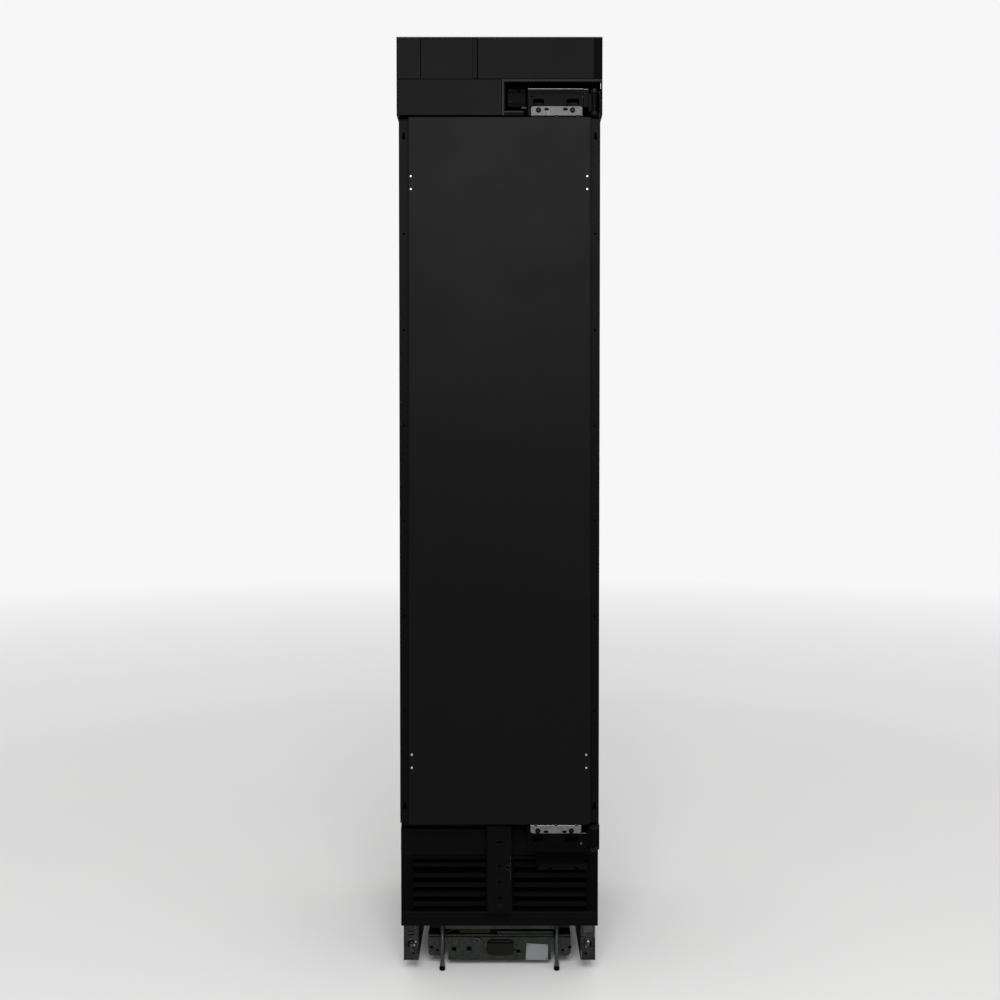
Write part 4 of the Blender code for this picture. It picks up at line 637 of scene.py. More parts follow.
# soft rubber: matt, faintly bloomed
def rubberFinish():
    made = Finish("seal rubber", metallic=0.0, gloss=0.25)
    made.put("colour", made.mix(made.noise(30, 4.0), (0.005, 0.005, 0.0055), (0.012, 0.012, 0.0125)))
    made.put("roughness", 0.62 + made.noise(160, 2.0) * 0.18)
    made.bump(made.noise(900, 1.0), 0.00004)
    return made.material


# copper tube: warm metal, browned in patches
def copperFinish():
    made = Finish("copper tube", metallic=1.0)
    tarnish = made.noise(40, 4.0).above(0.45, 0.3)
    made.put("colour", made.mix(tarnish, (0.78, 0.38, 0.24), (0.30, 0.15, 0.09)))
    made.put("roughness", 0.28 + tarnish * 0.25)
    made.bump(made.noise(300, 2.0), 0.00003)
    return made.material


# frosted lens of a light bar: white, brighter along a slow wave as its small lamps show through
def lensFinish():
    made = Finish("frosted light lens", metallic=0.0, glow=0.9)
    lamps = made.noise(38, 0.0, stretch=(0.02, 0.02, 1.0))
    made.put("colour", made.mix(lamps, (0.80, 0.82, 0.84), (0.88, 0.89, 0.90)))
    made.put("glowColour", made.mix(lamps, (0.62, 0.68, 0.74), (0.95, 0.97, 1.0)))
    made.put("roughness", 0.40 + made.noise(300, 2.0) * 0.15)
    made.bump(made.noise(900, 1.0), 0.00003)
    return made.material


paint = paintFinish("black satin paint", (0.0018, 0.0019, 0.0020), (0.0029, 0.0030, 0.0032), 0.060, 0.48)
fasciaPaint = paintFinish("black fascia paint", (0.0014, 0.0014, 0.0015), (0.0024, 0.0024, 0.0026), 0.040, 0.48)
# a lighter, glossier copy of the black paint: painted highlight on rims and edges
rimHighlightPaint = paintFinish("black rim paint lightened as painted highlight", (0.0020, 0.0020, 0.0021), (0.0034, 0.0034, 0.0035), 0.066, 0.40)
shadedPaint = paintFinish(
    "black paint in the shade", (0.0008, 0.0008, 0.0009), (0.0014, 0.0014, 0.0015), 0.014, 0.52
)
# paint lightened and glossier, a painted highlight along the top sheet's front edge
highlightEdgePaint = paintFinish("black paint lightened as painted highlight", (0.006, 0.006, 0.0063), (0.013, 0.013, 0.0133), 0.25, 0.34)
# darker than the door paint as painted shade on the low parts under the door; its lower gloss is the matt
# finish
mattShadePaint = paintFinish("black matt paint darkened as painted shade", (0.0012, 0.0012, 0.0013), (0.0021, 0.0021, 0.0022), 0.035, 0.50)
blackPlastic = plasticFinish(
    "black moulded plastic", (0.0009, 0.0009, 0.0009), (0.0016, 0.0016, 0.0016), 0.52, 900, 0.022
)
hingeBlack = plasticFinish(
    "black hinge casting", (0.0005, 0.0005, 0.0006), (0.0011, 0.0011, 0.0012), 0.40, 500, 0.024
)
# near-black standing in for the shade inside holes, gaps and hollows
shadeBlack = plasticFinish("black painted as shade in hollows", (0.0006, 0.0006, 0.0006), (0.0010, 0.0010, 0.0010), 0.9, 600, 0.0)
# fins darkened as painted shade behind the grille
shadeBlackFins = plasticFinish("black fins darkened as painted shade", (0.003, 0.003, 0.003), (0.006, 0.006, 0.006), 0.5, 700, 0.06)
enamel = plasticFinish("black baked enamel", (0.008, 0.008, 0.009), (0.014, 0.014, 0.015), 0.26, 220, 0.5)
greyPlastic = plasticFinish("grey plastic", (0.20, 0.21, 0.22), (0.27, 0.28, 0.29), 0.45, 600, 0.4)
gripBrown = plasticFinish(
    "grey-brown grip", (0.0038, 0.0036, 0.0032), (0.0075, 0.0069, 0.0060), 0.42, 700, 0.09
)
zincSheet = zincFinish("zinc sheet", (0.13, 0.142, 0.134), (0.25, 0.268, 0.255), stained=0.25)
# zinc darkened as painted shade, for parts low under the door and under the fascia; its stains are its own
darkenedZinc = zincFinish(
    "zinc darkened as painted shade", (0.022, 0.0245, 0.0225), (0.052, 0.057, 0.053), 190.0, (0.022, 0.021, 0.015)
)
# olive stain, with the level darkened as painted shade
oliveShadeZinc = zincFinish(
    "olive-stained zinc darkened as painted shade", (0.011, 0.0104, 0.0074), (0.022, 0.021, 0.015),
    stain=(0.012, 0.011, 0.006), stained=0.3,
)
# the mottle is the sheet's own; its dark level is painted shade
mottledShadeZinc = zincFinish(
    "mottled zinc rail darkened as painted shade", (0.0095, 0.0101, 0.0098), (0.056, 0.0585, 0.0572), 230.0, (0.011, 0.011, 0.009), 0.34
)
legZinc = zincFinish(
    "zinc levelling leg", (0.040, 0.0435, 0.0445), (0.086, 0.092, 0.094), 260.0, roughness=0.28, stained=0.2
)
# bright zinc laid on edges as painted highlight
highlightZinc = zincFinish(
    "zinc as painted highlight on edges", (0.050, 0.054, 0.055), (0.105, 0.112, 0.114), 260.0, roughness=0.28, stained=0.2
)
plateZinc = zincFinish(
    "bright zinc plate", (0.090, 0.0925, 0.0925), (0.178, 0.181, 0.181), 300.0, roughness=0.26, stained=0.2
)
shadedZinc = zincFinish(
    "zinc plate darkened as painted shade", (0.024, 0.0245, 0.0245), (0.056, 0.057, 0.057), 300.0,
    (0.02, 0.02, 0.018), 0.34, 0.3,
)
steel = steelFinish("bright steel", (0.50, 0.50, 0.49))
darkSteel = steelFinish("dark oiled steel", (0.075, 0.075, 0.075), 0.34)
blackSteel = steelFinish("black oxide steel", (0.011, 0.011, 0.011), 0.36)
aluminium = steelFinish("aluminium fins", (0.68, 0.69, 0.70), 0.32, (1.0, 1.0, 0.05))
satinTrim = steelFinish("satin metal trim", (0.60, 0.61, 0.62), 0.30, (0.03, 1.0, 1.0))
whiteLiner = lightPlastic("white liner", (0.68, 0.69, 0.70), (0.76, 0.77, 0.78))
blankFace = lightPlastic("blank pale plate", (0.150, 0.157, 0.159), (0.212, 0.220, 0.222), 0.38, 500)
clearPlastic = clearFinish("clear moulding", (0.86, 0.90, 0.92))
shelfGlass = clearFinish("shelf glass", (0.78, 0.90, 0.87), 0.02, 0.96)
foam = foamFinish()
rubber = rubberFinish()
copper = copperFinish()
lens = lensFinish()
print("materials:", len(bpy.data.materials))

# the record's slots: each slot's own look first, then the other finishes that usually fill it
slotFinishes = {
    "black_paint": (paint, fasciaPaint, rimHighlightPaint, shadedPaint, highlightEdgePaint, mattShadePaint, shadeBlack),
    "black_plastic": (blackPlastic, hingeBlack, highlightZinc),
    "white_plastic": (whiteLiner, lens),
    "clear_plastic": (clearPlastic,),
    "zinc": (zincSheet, darkenedZinc, oliveShadeZinc, mottledShadeZinc, legZinc, plateZinc, shadedZinc, blankFace),
    "steel": (steel, darkSteel, blackSteel, satinTrim, copper),
    "foam": (foam,),
    "gasket_rubber": (rubber,),
    "aluminium": (aluminium, shadeBlackFins),
    "compressor_black": (enamel,),
    "glass": (shelfGlass,),
    "grey_plastic": (greyPlastic, gripBrown),
}
nodeSlot = {row["node"]: row["material_slot"] for row in frame["record"]["subparts"]}
for name, node in nodes.items():
    node.data.materials.clear()
    node.data.materials.append(slotFinishes[nodeSlot[name]][0])


# Door front

door = {
    "flange": 0.0215,          # each side of the raised panel
    "step": 0.018,
    "bend": 0.0028,
    "sheet": 0.001,
    "topStep": 0.0006,
    "screwX": (-0.1950, 0.1928),
    "screwZ": (1.8146, 1.7863, 0.5370, 0.5079),
    "screwRadius": 0.0025,
    "sinkRadius": 0.0034,
    "holeInset": 0.030,
    "holePitch": 0.212,
    "holeRadius": 0.0026,
    "slotWidth": 0.0056,
}


# rows over the raised face, round its bend, down the step, over the flange, along the return and back inside
def doorFront():
    low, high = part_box("door_pan")
    sheet, bend, lift, top = (door[key] for key in ("sheet", "bend", "flange", "topStep"))
    falls, rises = quarterTurn(6)
    curve = np.stack([falls, falls, rises], -1)
    step = low.y + door["step"]
    raised = np.array([lift, top, low.y]) + curve * bend
    rolled = np.array([0.0, 0.0, step]) + curve * sheet * 1.2
    rows = np.concatenate([
        raised, [[lift, top, step]], rolled, [[0.0, 0.0, high.y]],
        [[sheet, sheet, high.y], [sheet, sheet, step + sheet], [lift + sheet, top + sheet, step + sheet]],
        [[lift + sheet, top + sheet, low.y + bend], [lift + bend, top + bend, low.y + sheet]],
    ])
    rings = roundedRings((low.x, low.z), (high.x, high.z), rows[:, :2], 0.0016)
    shell = loft(onAxis("Y", rings, rows[:, 2][:, None]))
    places = [(x, z) for x in door["screwX"] for z in door["screwZ"]]
    sink = door["sinkRadius"]
    cone = [(sink * 1.15, -0.001), (sink, 0.0002), (sink * 0.55, 0.0009), (sink * 0.5, 0.004)]
    cuts = [lathe("Y", place, cone, 24, start=low.y) for place in places]
    piece("door_front", [shell], paint, "door_pan", "door", cuts=cuts)
    heads = [screwHead("Y", place, low.y + 0.0016, -1, door["screwRadius"], 0.0013, 28) for place in places]
    piece("door_panel_screws", heads, steel, body="door")


# strips over the flanges: keyholes near their ends, a column of screw holes, and behind each a hollow in black
# painted as its shade
def doorTrims():
    radius, half = door["holeRadius"], door["slotWidth"] / 2
    narrow = half * 0.94
    for word in ("left", "right"):
        xs, ys, zs = spans("door_trim_" + word)
        middle, near = sum(xs) / 2, ys[0] - 0.002
        skin, deep = ys[1] - 0.0001, ys[1] + hair * 0.6
        cuts, hollows = [], []
        for i in range(6):
            place = (middle, sum(zs) / 2 + (i - 2.5) * door["holePitch"])
            cuts.append(bore("Y", place, radius, near, deep, 20))
            hollows.append(bore("Y", place, radius * 0.96, skin, deep, 20))
        for start in (zs[0] + door["holeInset"], zs[1] - door["holeInset"] - 0.016):
            wide = (middle, start + half * 1.7)
            top, inTop = start + 0.0165, start + 0.0163
            cuts.append(bore("Y", wide, half * 1.6, near, deep))
            cuts.append(oval((middle - half, start + half), (middle + half, top), half * 0.96, near, deep))
            hollows.append(bore("Y", wide, half * 1.55, skin, deep))
            low, high = (middle - narrow, start + half), (middle + narrow, inTop)
            hollows.append(oval(low, high, half * 0.9, skin, deep, 0.00005))
        strip = roundBox(xs, ys, zs, 0.0004)
        piece("door_trim_strip_" + word, [strip], fasciaPaint, "door_trim_" + word, "door", cuts=cuts)
        piece("door_trim_hollows_" + word, hollows, shadeBlack, body="door")


doorFront()
doorTrims()


# Fascia above the door and the panel under it

fascia = {
    "bend": 0.0013,
    "sheet": 0.0009,
    "edgeStrip": 0.0112,       # rolled strip at the middle panel's right side
    "edgeSetback": 0.0010,
    "crossShade": 0.024,       # upper part of the panel under the door, set back
    "crossSetback": 0.007,
    "crossLip": 0.0083,
}


def fasciaPanels():
    sheet, bend = fascia["sheet"], fascia["bend"]
    for node in ("fascia_upper_left", "fascia_upper_right", "fascia_lower_left"):
        piece(node + "_sheet", [panShell(*spans(node), sheet, bend)], fasciaPaint, node)
    node = "fascia_upper_middle"
    xs, ys, zs = spans(node)
    split = xs[1] - fascia["edgeStrip"]
    face = panShell((xs[0], split + 0.002), (ys[0] + fascia["edgeSetback"], ys[1]), zs, sheet, bend)
    strip = roundBox((split, xs[1]), ys, zs, 0.0026, corner=0.0022)
    piece(node + "_sheet", [face, strip], fasciaPaint, node)


# folded line carried across: shaded upper part, a rounded step forward, the face, and a lip under it
def crossPanel():
    low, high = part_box("cross_panel")
    step, lip = high.z - fascia["crossShade"], low.z + fascia["crossLip"]
    deep = low.y + fascia["crossSetback"]
    line = [
        (deep, high.z), (deep, step), (low.y, step - 0.004), (low.y, lip + 0.0014), (low.y + 0.0028, lip),
        (low.y, lip - 0.0016), (low.y, low.z),
    ]
    face = filleted(line, 0.0012, 4)
    rear = face[::-1] + (0.0014, 0.0)
    rear[:, 1] = np.clip(rear[:, 1], low.z + 0.0004, high.z - 0.0004)
    outline = np.concatenate([face, [[high.y, low.z]], [[high.y, low.z + 0.0012]], rear[1:]])
    piece("cross_panel_sheet", [slab("X", outline, low.x, high.x, 0.0002)], mattShadePaint, "cross_panel")


fasciaPanels()
crossPanel()
print("door front and fascia done")


# Hinges, above the door and mirrored below it

hinge = {
    "stepLength": 0.0125,
    "edge": 0.0016,
    "farEdge": 0.0030,
    "windows": ((0.0738, 0.0972), (0.1470, 0.1756)),
    "windowRise": 0.0012,      # from the plate's far edge
    "windowHeight": 0.0160,
    "windowDepth": 0.016,
    "pinX": 0.2090,
    "pinSetback": 0.015,
    "knuckle": 0.009,
    "knuckleBore": 0.0043,
    "boltX": (0.0855, 0.1601),
    "boltRise": 0.0140,        # from the plate's start
    "boltRadius": 0.0046,
    "slotX": (0.1036, 0.1446),
    "slotRise": 0.0158,
    "slotSize": (0.0104, 0.0056),
    "plateSheet": 0.0025,
    "plateBends": (0.0034, 0.0009),
    "corner": 0.0062,
    "plateInset": 0.0034,      # of its free end from the housing's
    "eyeX": 0.0703,            # small hole at the housing's free end
    "pegX": 0.1822,            # bright peg at its pin end
    "eyeRise": 0.0445,
}

# what the two hinges differ in: step is the pin end's place behind the face, shorter the plate's lost height;
# the top one's plate and peg finishes are darkened as painted shade
hingeKinds = {
    "top": {
        "way": 1, "step": 0.0024, "shorter": 0.0, "casting": hingeBlack, "plate": shadedZinc,
        "peg": darkenedZinc, "pegRadius": 0.0016,
    },
    "bottom": {
        "way": -1, "step": 0.0006, "shorter": 0.0030, "casting": blackPlastic, "plate": plateZinc,
        "peg": legZinc, "pegRadius": 0.0026,
    },
}


# an L carried along: two legs, a rounded bend outside and a tight one inside
def angleSection(rise, depth, sheet):
    falls, rises = quarterTurn(5)
    curve = np.stack([rises, falls], -1)
    outer, inner = hinge["plateBends"]
    bend, hollow = outer * curve, sheet + inner * curve
    return np.concatenate([bend, [[depth, 0.0], [depth, sheet]], hollow[::-1], [[sheet, rise], [0.0, rise]]])


# housing block: a rectangle with a wide rounded far edge and small ones elsewhere, carried along
def housingBody(left, right, face, rear, near, far):
    way = 1 if far > near else -1
    small, wide = hinge["edge"] * 0.6, hinge["farEdge"]
    falls, rises = quarterTurn(6)
    top = np.stack([face + wide * falls, far - way * wide * rises], -1)
    foot = np.stack([face + small * rises, near + way * small * falls], -1)
    outline = np.concatenate([top, foot, [[rear, near], [rear, far]]])
    return slab("X", outline[::way], left, right, hinge["edge"], 4)


def hingeHousing(word, kind):
    node, way = "hinge_housing_" + word, kind["way"]
    low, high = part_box(node)
    plateLow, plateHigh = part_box("hinge_plate_" + word)
    start, plate = (plateLow.z if way > 0 else plateHigh.z), plateHigh.z - plateLow.z
    near, far = (low.z, high.z) if way > 0 else (high.z, low.z)
    face, right, pinY = low.y, hinge["pinX"] - 0.012, front + hinge["pinSetback"]
    split = right - hinge["stepLength"]
    beside = start + way * (plate - kind["shorter"] - 0.0005)
    pinFace = face + kind["step"]
    body = housingBody(low.x, split, face, high.y, near, far)
    pinEnd = housingBody(split - 0.002, right, pinFace, high.y, beside + way * 0.0004, far - way * 0.0003)
    tall = (far - way * 0.0068, far - way * 0.0058)
    rib = roundBox((low.x + 0.004, right - 0.016), (face - 0.0006, face + 0.002), tall, 0.0004)
    ribs = [rib, moved(rib, (0, 0, -way * 0.0030)), moved(rib, (0, 0, -way * 0.0060))]
    foot, peak = sorted((near + way * 0.0102, far - way * 0.0102))
    radius, inside = hinge["knuckle"], hinge["knuckleBore"]
    barrel = [
        (inside, foot), (radius - 0.0006, foot), (radius, foot + 0.0006),
        (radius, peak - 0.0006), (radius - 0.0006, peak), (inside, peak),
    ]
    knuckle = lathe("Z", (hinge["pinX"], pinY), barrel, 40, loop=True)
    across, depth = (right - 0.0012, hinge["pinX"] - 0.0046), (pinY - 0.0058, pinY + 0.0058)
    web = roundBox(across, depth, (foot, peak), 0.0008)
    windowNear = start + way * (plate + hinge["windowRise"])
    tall = (windowNear, windowNear + way * hinge["windowHeight"])
    depth = (face - 0.004, face + hinge["windowDepth"])
    cuts = [roundBox(span, depth, tall, 0.0012, axis="Y", corner=0.0030) for span in hinge["windows"]]
    eye = start + way * hinge["eyeRise"]
    cuts.append(bore("Y", (hinge["eyeX"], eye), 0.0019, face - 0.003, face + 0.006, 20))
    piece(node + "_casting", [body], kind["casting"], node, "door", cuts=cuts)
    piece(node + "_ribs", [pinEnd, *ribs, knuckle, web], kind["casting"], body="door")
    # its upper edge and, beside the lower plate, its shoulder: zinc strips as painted highlights
    if way > 0:
        tall = (far - 0.0020, far - 0.0001)
        edges = [
            ((low.x + 0.0005, split), (face - 0.0004, face + 0.0016), tall),
            ((split - 0.001, right - 0.0015), (pinFace + 0.0002, pinFace + 0.0022), tall),
        ]
    else:
        tall = (beside - 0.0022, beside - 0.0004)
        edges = [((plateHigh.x - 0.004, right - 0.0030), (face - 0.0004, face + 0.0016), tall)]
    piece(node + "_edge", [roundBox(*edge, 0.0006, axis="X") for edge in edges], highlightZinc, body="door")
    # link bars seen through the windows, each with its rivet, and the peg
    links, middle = [], windowNear + way * hinge["windowHeight"] * 0.42
    rivet = [(0.0030, 0.009), (0.0030, 0.0074), (0.0022, 0.0066), (0.0004, 0.0064)]
    for left, end in hinge["windows"]:
        bar = (left + 0.0022, middle - 0.0042), (end - 0.0018, middle + 0.0042)
        links.append(oval(*bar, 0.0041, face + 0.0085, face + 0.0115, 0.0004))
        links.append(lathe("Y", (left + 0.0070, middle), rivet, 24, start=face))
        stop = (end - 0.006, end - 0.003), (face + 0.0110, face + 0.0150), (middle - 0.006, middle + 0.006)
        links.append(roundBox(*stop, 0.0005))
    piece("hinge_links_" + word, links, hingeBlack, body="door")
    size, place = kind["pegRadius"], (hinge["pegX"], eye - way * 0.001)
    peg = [(0.0003, -0.0013), (size * 0.6, -0.0011), (size, -0.0002), (size * 1.05, 0.002)]
    piece("hinge_peg_" + word, [lathe("Y", place, peg, 20, start=face)], kind["peg"], body="door")


def hingePlate(word, kind):
    node, way = "hinge_plate_" + word, kind["way"]
    low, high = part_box(node)
    low.x += hinge["plateInset"]
    start = low.z if way > 0 else high.z
    rise = high.z - low.z - kind["shorter"]
    section = angleSection(rise, high.y - low.y, hinge["plateSheet"])
    section = np.stack([low.y + section[:, 0], start + way * section[:, 1]], -1)
    near, far = low.y - 0.002, low.y + 0.004
    clip, cuts = hinge["corner"], []
    falls, rises = quarterTurn(5)
    for x, side in ((low.x, 1), (high.x, -1)):
        arc = np.stack([x + side * clip * falls, start + way * (rise - clip * rises)], -1)
        aside, over = x - side * 0.002, start + way * (rise + 0.002)
        beyond = np.array([[aside, arc[-1, 1]], [aside, over], [arc[0, 0], over]])
        cuts.append(slab("Y", np.concatenate([arc, beyond]), near, far, 0.0001))
    half, middle = np.array(hinge["slotSize"]) / 2, start + way * hinge["slotRise"]
    for x in hinge["slotX"]:
        cuts.append(oval((x, middle) - half, (x, middle) + half, hinge["slotSize"][1] * 0.46, near, far))
    tall = (start - way * 0.001, start + way * 0.0030)
    for x in (low.x + 0.0115, (low.x + high.x) / 2, high.x - 0.0105):
        cuts.append(roundBox((x - 0.0032, x + 0.0032), (near, low.y + 0.0052), tall, 0.0008))
    piece(node + "_angle", [slab("X", section, low.x, high.x, 0.0004)], kind["plate"], node, "door", cuts=cuts)
    radius, places = hinge["boltRadius"], [(x, start + way * hinge["boltRise"]) for x in hinge["boltX"]]
    washer = [(radius + 0.0012, 0.0), (radius + 0.0012, -0.0008), (radius - 0.001, -0.0010)]
    washers = [lathe("Y", place, washer, start=low.y) for place in places]
    bolts = [socketHead("Y", place, low.y - 0.0006, -1, radius - 0.0008, 0.0024) for place in places]
    piece("hinge_washers_" + word, washers, hingeBlack, body="door")
    piece("hinge_bolts_" + word, bolts, blackSteel, body="door")


for word, kind in hingeKinds.items():
    hingeHousing(word, kind)
    hingePlate(word, kind)
    softened("hinge_leaf_" + word, paint)
    softened("hinge_pin_" + word, darkSteel, 0.0004)


# Pocket of the top hinge: rear bracket, a pressed frame in paint lightened as painted highlight, a lever and a
# zinc tab beside the pin as painted highlight

pocket = {
    "rim": 0.0054,
    "ledge": 0.0095,
    "litEdge": 0.0036,         # of the ledge's top
    "notchX": 0.0526,
    "plateX": (0.0170, 0.0590),
    "plateZ": (1.9745, 2.0175),
    "plateSetback": 0.028,
    "leverX": (0.0480, 0.0603),
    "leverZ": (1.9650, 1.9700),
    "tabX": (0.2211, 0.2231),
    "tabZ": (2.0060, 2.0245),
}


def pocketDetails():
    low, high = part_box("hinge_pocket")
    xs, _, zs = spans("hinge_pocket")
    mouth = roundBox(drawn(xs, -0.002), (low.y - 0.002, low.y + 0.0012), drawn(zs, -0.002), 0.0002)
    softened("hinge_pocket", blackPlastic, 0.0004, cuts=[mouth])
    left, top, notch = low.x + pocket["rim"], high.z - pocket["rim"], pocket["notchX"]
    ledge, under = low.z + pocket["ledge"], low.z + pocket["ledge"] - pocket["litEdge"]
    line = [
        (low.x, low.z), (left, low.z), (left, under), (notch, under), (notch, ledge), (left, ledge),
        (left, top), (high.x, top), (high.x, high.z), (low.x, high.z),
    ]
    # frame round the pocket's mouth, in paint lightened as painted highlight
    piece("hinge_pocket_rim", [slab("Y", line, low.y, low.y + 0.0014, 0.0005)], rimHighlightPaint)
    rear, face = high.y - 0.0022, front + pocket["plateSetback"]
    x0, (z0, z1) = pocket["plateX"][0], pocket["plateZ"]
    plate = roundBox(pocket["plateX"], (face, rear), pocket["plateZ"], 0.0020, axis="Y", corner=0.0030)
    across = drawn(pocket["plateX"], 0.002)
    ribs = [
        roundBox(across, (face - 0.0012, face + 0.001), (z, z + 0.0022), 0.0008)
        for z in (z0 + 0.006, z1 - 0.012)
    ]
    tall = (low.z + 0.004, high.z - 0.006)
    post = roundBox((low.x + 0.0058, low.x + 0.0084), (front + 0.012, rear), tall, 0.0008)
    hole = bore("Y", (x0 + 0.0255, z1 - 0.0080), 0.0028, face - 0.002, face + 0.008)
    piece("pocket_bracket", [plate, *ribs, post], blackPlastic, cuts=[hole])
    screws = [screwHead("Y", (x0 + 0.0060, z), face, -1, 0.0028, 0.0016) for z in (z1 - 0.006, z0 + 0.012)]
    piece("pocket_screws", screws, blackSteel)
    depth = (front + 0.0120, front + 0.0160)
    lever = roundBox(pocket["leverX"], depth, pocket["leverZ"], 0.0012, axis="Y", corner=0.0018)
    route = [(0.0485, front + 0.0145, 1.9675), (0.0420, front + 0.022, 1.9670), (0.0380, face + 0.003, 1.9770)]
    piece("pocket_lever", [lever, tube(smoothPath(route), 0.0013)], oliveShadeZinc)
    # bright zinc tab over the leaf as a painted highlight, held by a dark lug on the side sheet
    (x0, x1), (z0, z1) = pocket["tabX"], pocket["tabZ"]
    tab = roundBox((x0, x1), (front + 0.0056, front + 0.0070), (z0, z1), 0.0005)
    piece("hinge_painted_highlight", [tab], plateZinc)
    across, depth = (x0 - 0.0004, halfWidth - 0.0012), (front + 0.0066, front + 0.0098)
    lug = roundBox(across, depth, (z0 + 0.001, z1), 0.0006)
    piece("hinge_edge_lug", [lug], blackPlastic)


pocketDetails()
print("hinges done")


# Centre strut

strut = {
    "sheet": 0.002,
    "bend": 0.0034,
    "catch": (0.0182, 0.2738),
    "oval": ((-0.0078, 0.3282), (0.0080, 0.3326)),
    "ovalMarks": (0.3252, 0.3344),
    "slotZ": (0.2765, 0.2400, 0.2036),
    "slotMarks": (-0.0076, 0.0060),
    "bars": ((0.2482, 0.2504, 0.0008), (0.1830, 0.1900, 0.0012)),
    "barX": (-0.0072, 0.0078),
    "dashX": (0.0240, 0.0249),
    "dashes": ((0.2430, 0.2700), (0.2740, 0.2860), (0.2900, 0.2990)),
}


# channel: a U with round bends carried up, its face pierced and stamped
def centreStrut():
    low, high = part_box("centre_strut")
    face, width, depth = low.y, high.x, high.y - low.y
    sheet, bend = strut["sheet"], strut["bend"]
    tight = bend - sheet
    falls, rises = quarterTurn(6)
    left = np.stack([-width + bend * rises, bend * falls], -1)
    within = np.stack([-width + sheet + tight * rises, sheet + tight * falls], -1)
    outline = np.concatenate([
        [[-width, depth]], left, left[::-1] * (-1, 1), [[width, depth], [width - sheet, depth]],
        within * (-1, 1), within[::-1], [[-width + sheet, depth]],
    ])
    outline[:, 1] += face
    near, far = face - 0.002, face + 0.004
    cuts = [oval(*strut["oval"], 0.0021, near, far)]
    marks = [
        roundBox((-0.0095, 0.0097), (face - 0.0013, face + 0.001), (z, z + 0.0020), 0.0007)
        for z in strut["ovalMarks"]
    ]
    raised = (face - 0.0014, face + 0.001)
    for z in strut["slotZ"]:
        cuts.append(oval((-0.0018, z - 0.0026), (0.0030, z + 0.0026), 0.0009, near, far))
        tall = (z - 0.0080, z + 0.0080)
        marks += [roundBox((x, x + 0.0026), raised, tall, 0.0009) for x in strut["slotMarks"]]
    marks += [roundBox(strut["barX"], raised, (z0, z1), edge) for z0, z1, edge in strut["bars"]]
    cuts.append(bore("Y", strut["catch"], 0.0044, near, far, 28))
    channel = slab("Z", outline, low.z, high.z, 0.0004)
    piece("centre_strut_channel", [channel], mattShadePaint, "centre_strut", cuts=cuts)
    across, top = (-width, width), high.z
    lids = [
        roundBox(drawn(across, 0.001), (face - 0.0006, high.y), (top - 0.0034, top - 0.0008), 0.0006),
        roundBox(drawn(across, 0.003), (face - 0.0005, face + 0.002), (top - 0.0092, top - 0.0080), 0.0004),
    ]
    piece("centre_strut_stampings", [*lids, *marks], paint)
    # black block behind the channel, painted shade in its openings
    behind = (face + sheet + 0.001, face + sheet + 0.004)
    hollow = roundBox(drawn(across, 0.006), behind, drawn((low.z, high.z), 0.02), 0.0006)
    piece("centre_strut_painted_shade", [hollow], shadeBlack)
    button = [(0.0031, 0.010), (0.0031, -0.0002), (0.0027, -0.0008), (0.0013, -0.0008), (0.0009, 0.0006)]
    ring = [(0.0044, 0.001), (0.0046, -0.0008), (0.0054, -0.0010), (0.0060, 0.001)]
    piece("strut_catch", [lathe("Y", strut["catch"], button, 28, start=face)], hingeBlack)
    ring = lathe("Y", strut["catch"], ring, 28, loop=True, start=face)
    piece("strut_catch_ring", [ring], darkenedZinc)
    depth = (face - 0.0006, face + 0.0006)
    dashes = [roundBox(strut["dashX"], depth, dash, 0.0003) for dash in strut["dashes"]]
    piece("strut_strike", dashes, darkenedZinc)


# Toe grille

grille = {
    "stile": 0.0240,
    "rail": 0.003,
    "topRail": 0.0100,
    "seam": 0.0022,            # dark line over the top rail
    "middle": 0.03125,
    "slatZ": (0.2662, 0.2415, 0.2193, 0.1975, 0.1756),
    "slatHeight": 0.0098,
    "slatDepth": 0.0060,
    "slatThick": 0.0034,
    "bearer": ((0.0815, 0.1935), (0.2730, 0.3360)),
    "foot": ((0.0870, 0.2005), (0.2565, 0.2724)),
    "footOvals": (0.1146, 0.1768),
    "footOvalZ": (0.2578, 0.2622),
    "clipX": (-0.2175, 0.2175),
    "clipZ": (0.2820, 0.1660),
}


# slat: a flat bar with round edges, leaning back as it rises
def slatSection():
    thick, depth = grille["slatThick"], grille["slatDepth"]
    rise = grille["slatHeight"] - thick
    turn = np.linspace(0, math.pi, 7)
    nose = np.stack([-np.sin(turn), -np.cos(turn)], -1) * thick / 2
    lean = math.atan2(rise, depth)
    spin = np.array([[math.cos(lean), -math.sin(lean)], [math.sin(lean), math.cos(lean)]])
    return np.concatenate([nose, np.array([math.hypot(depth, rise), 0.0]) - nose]) @ spin.T, rise


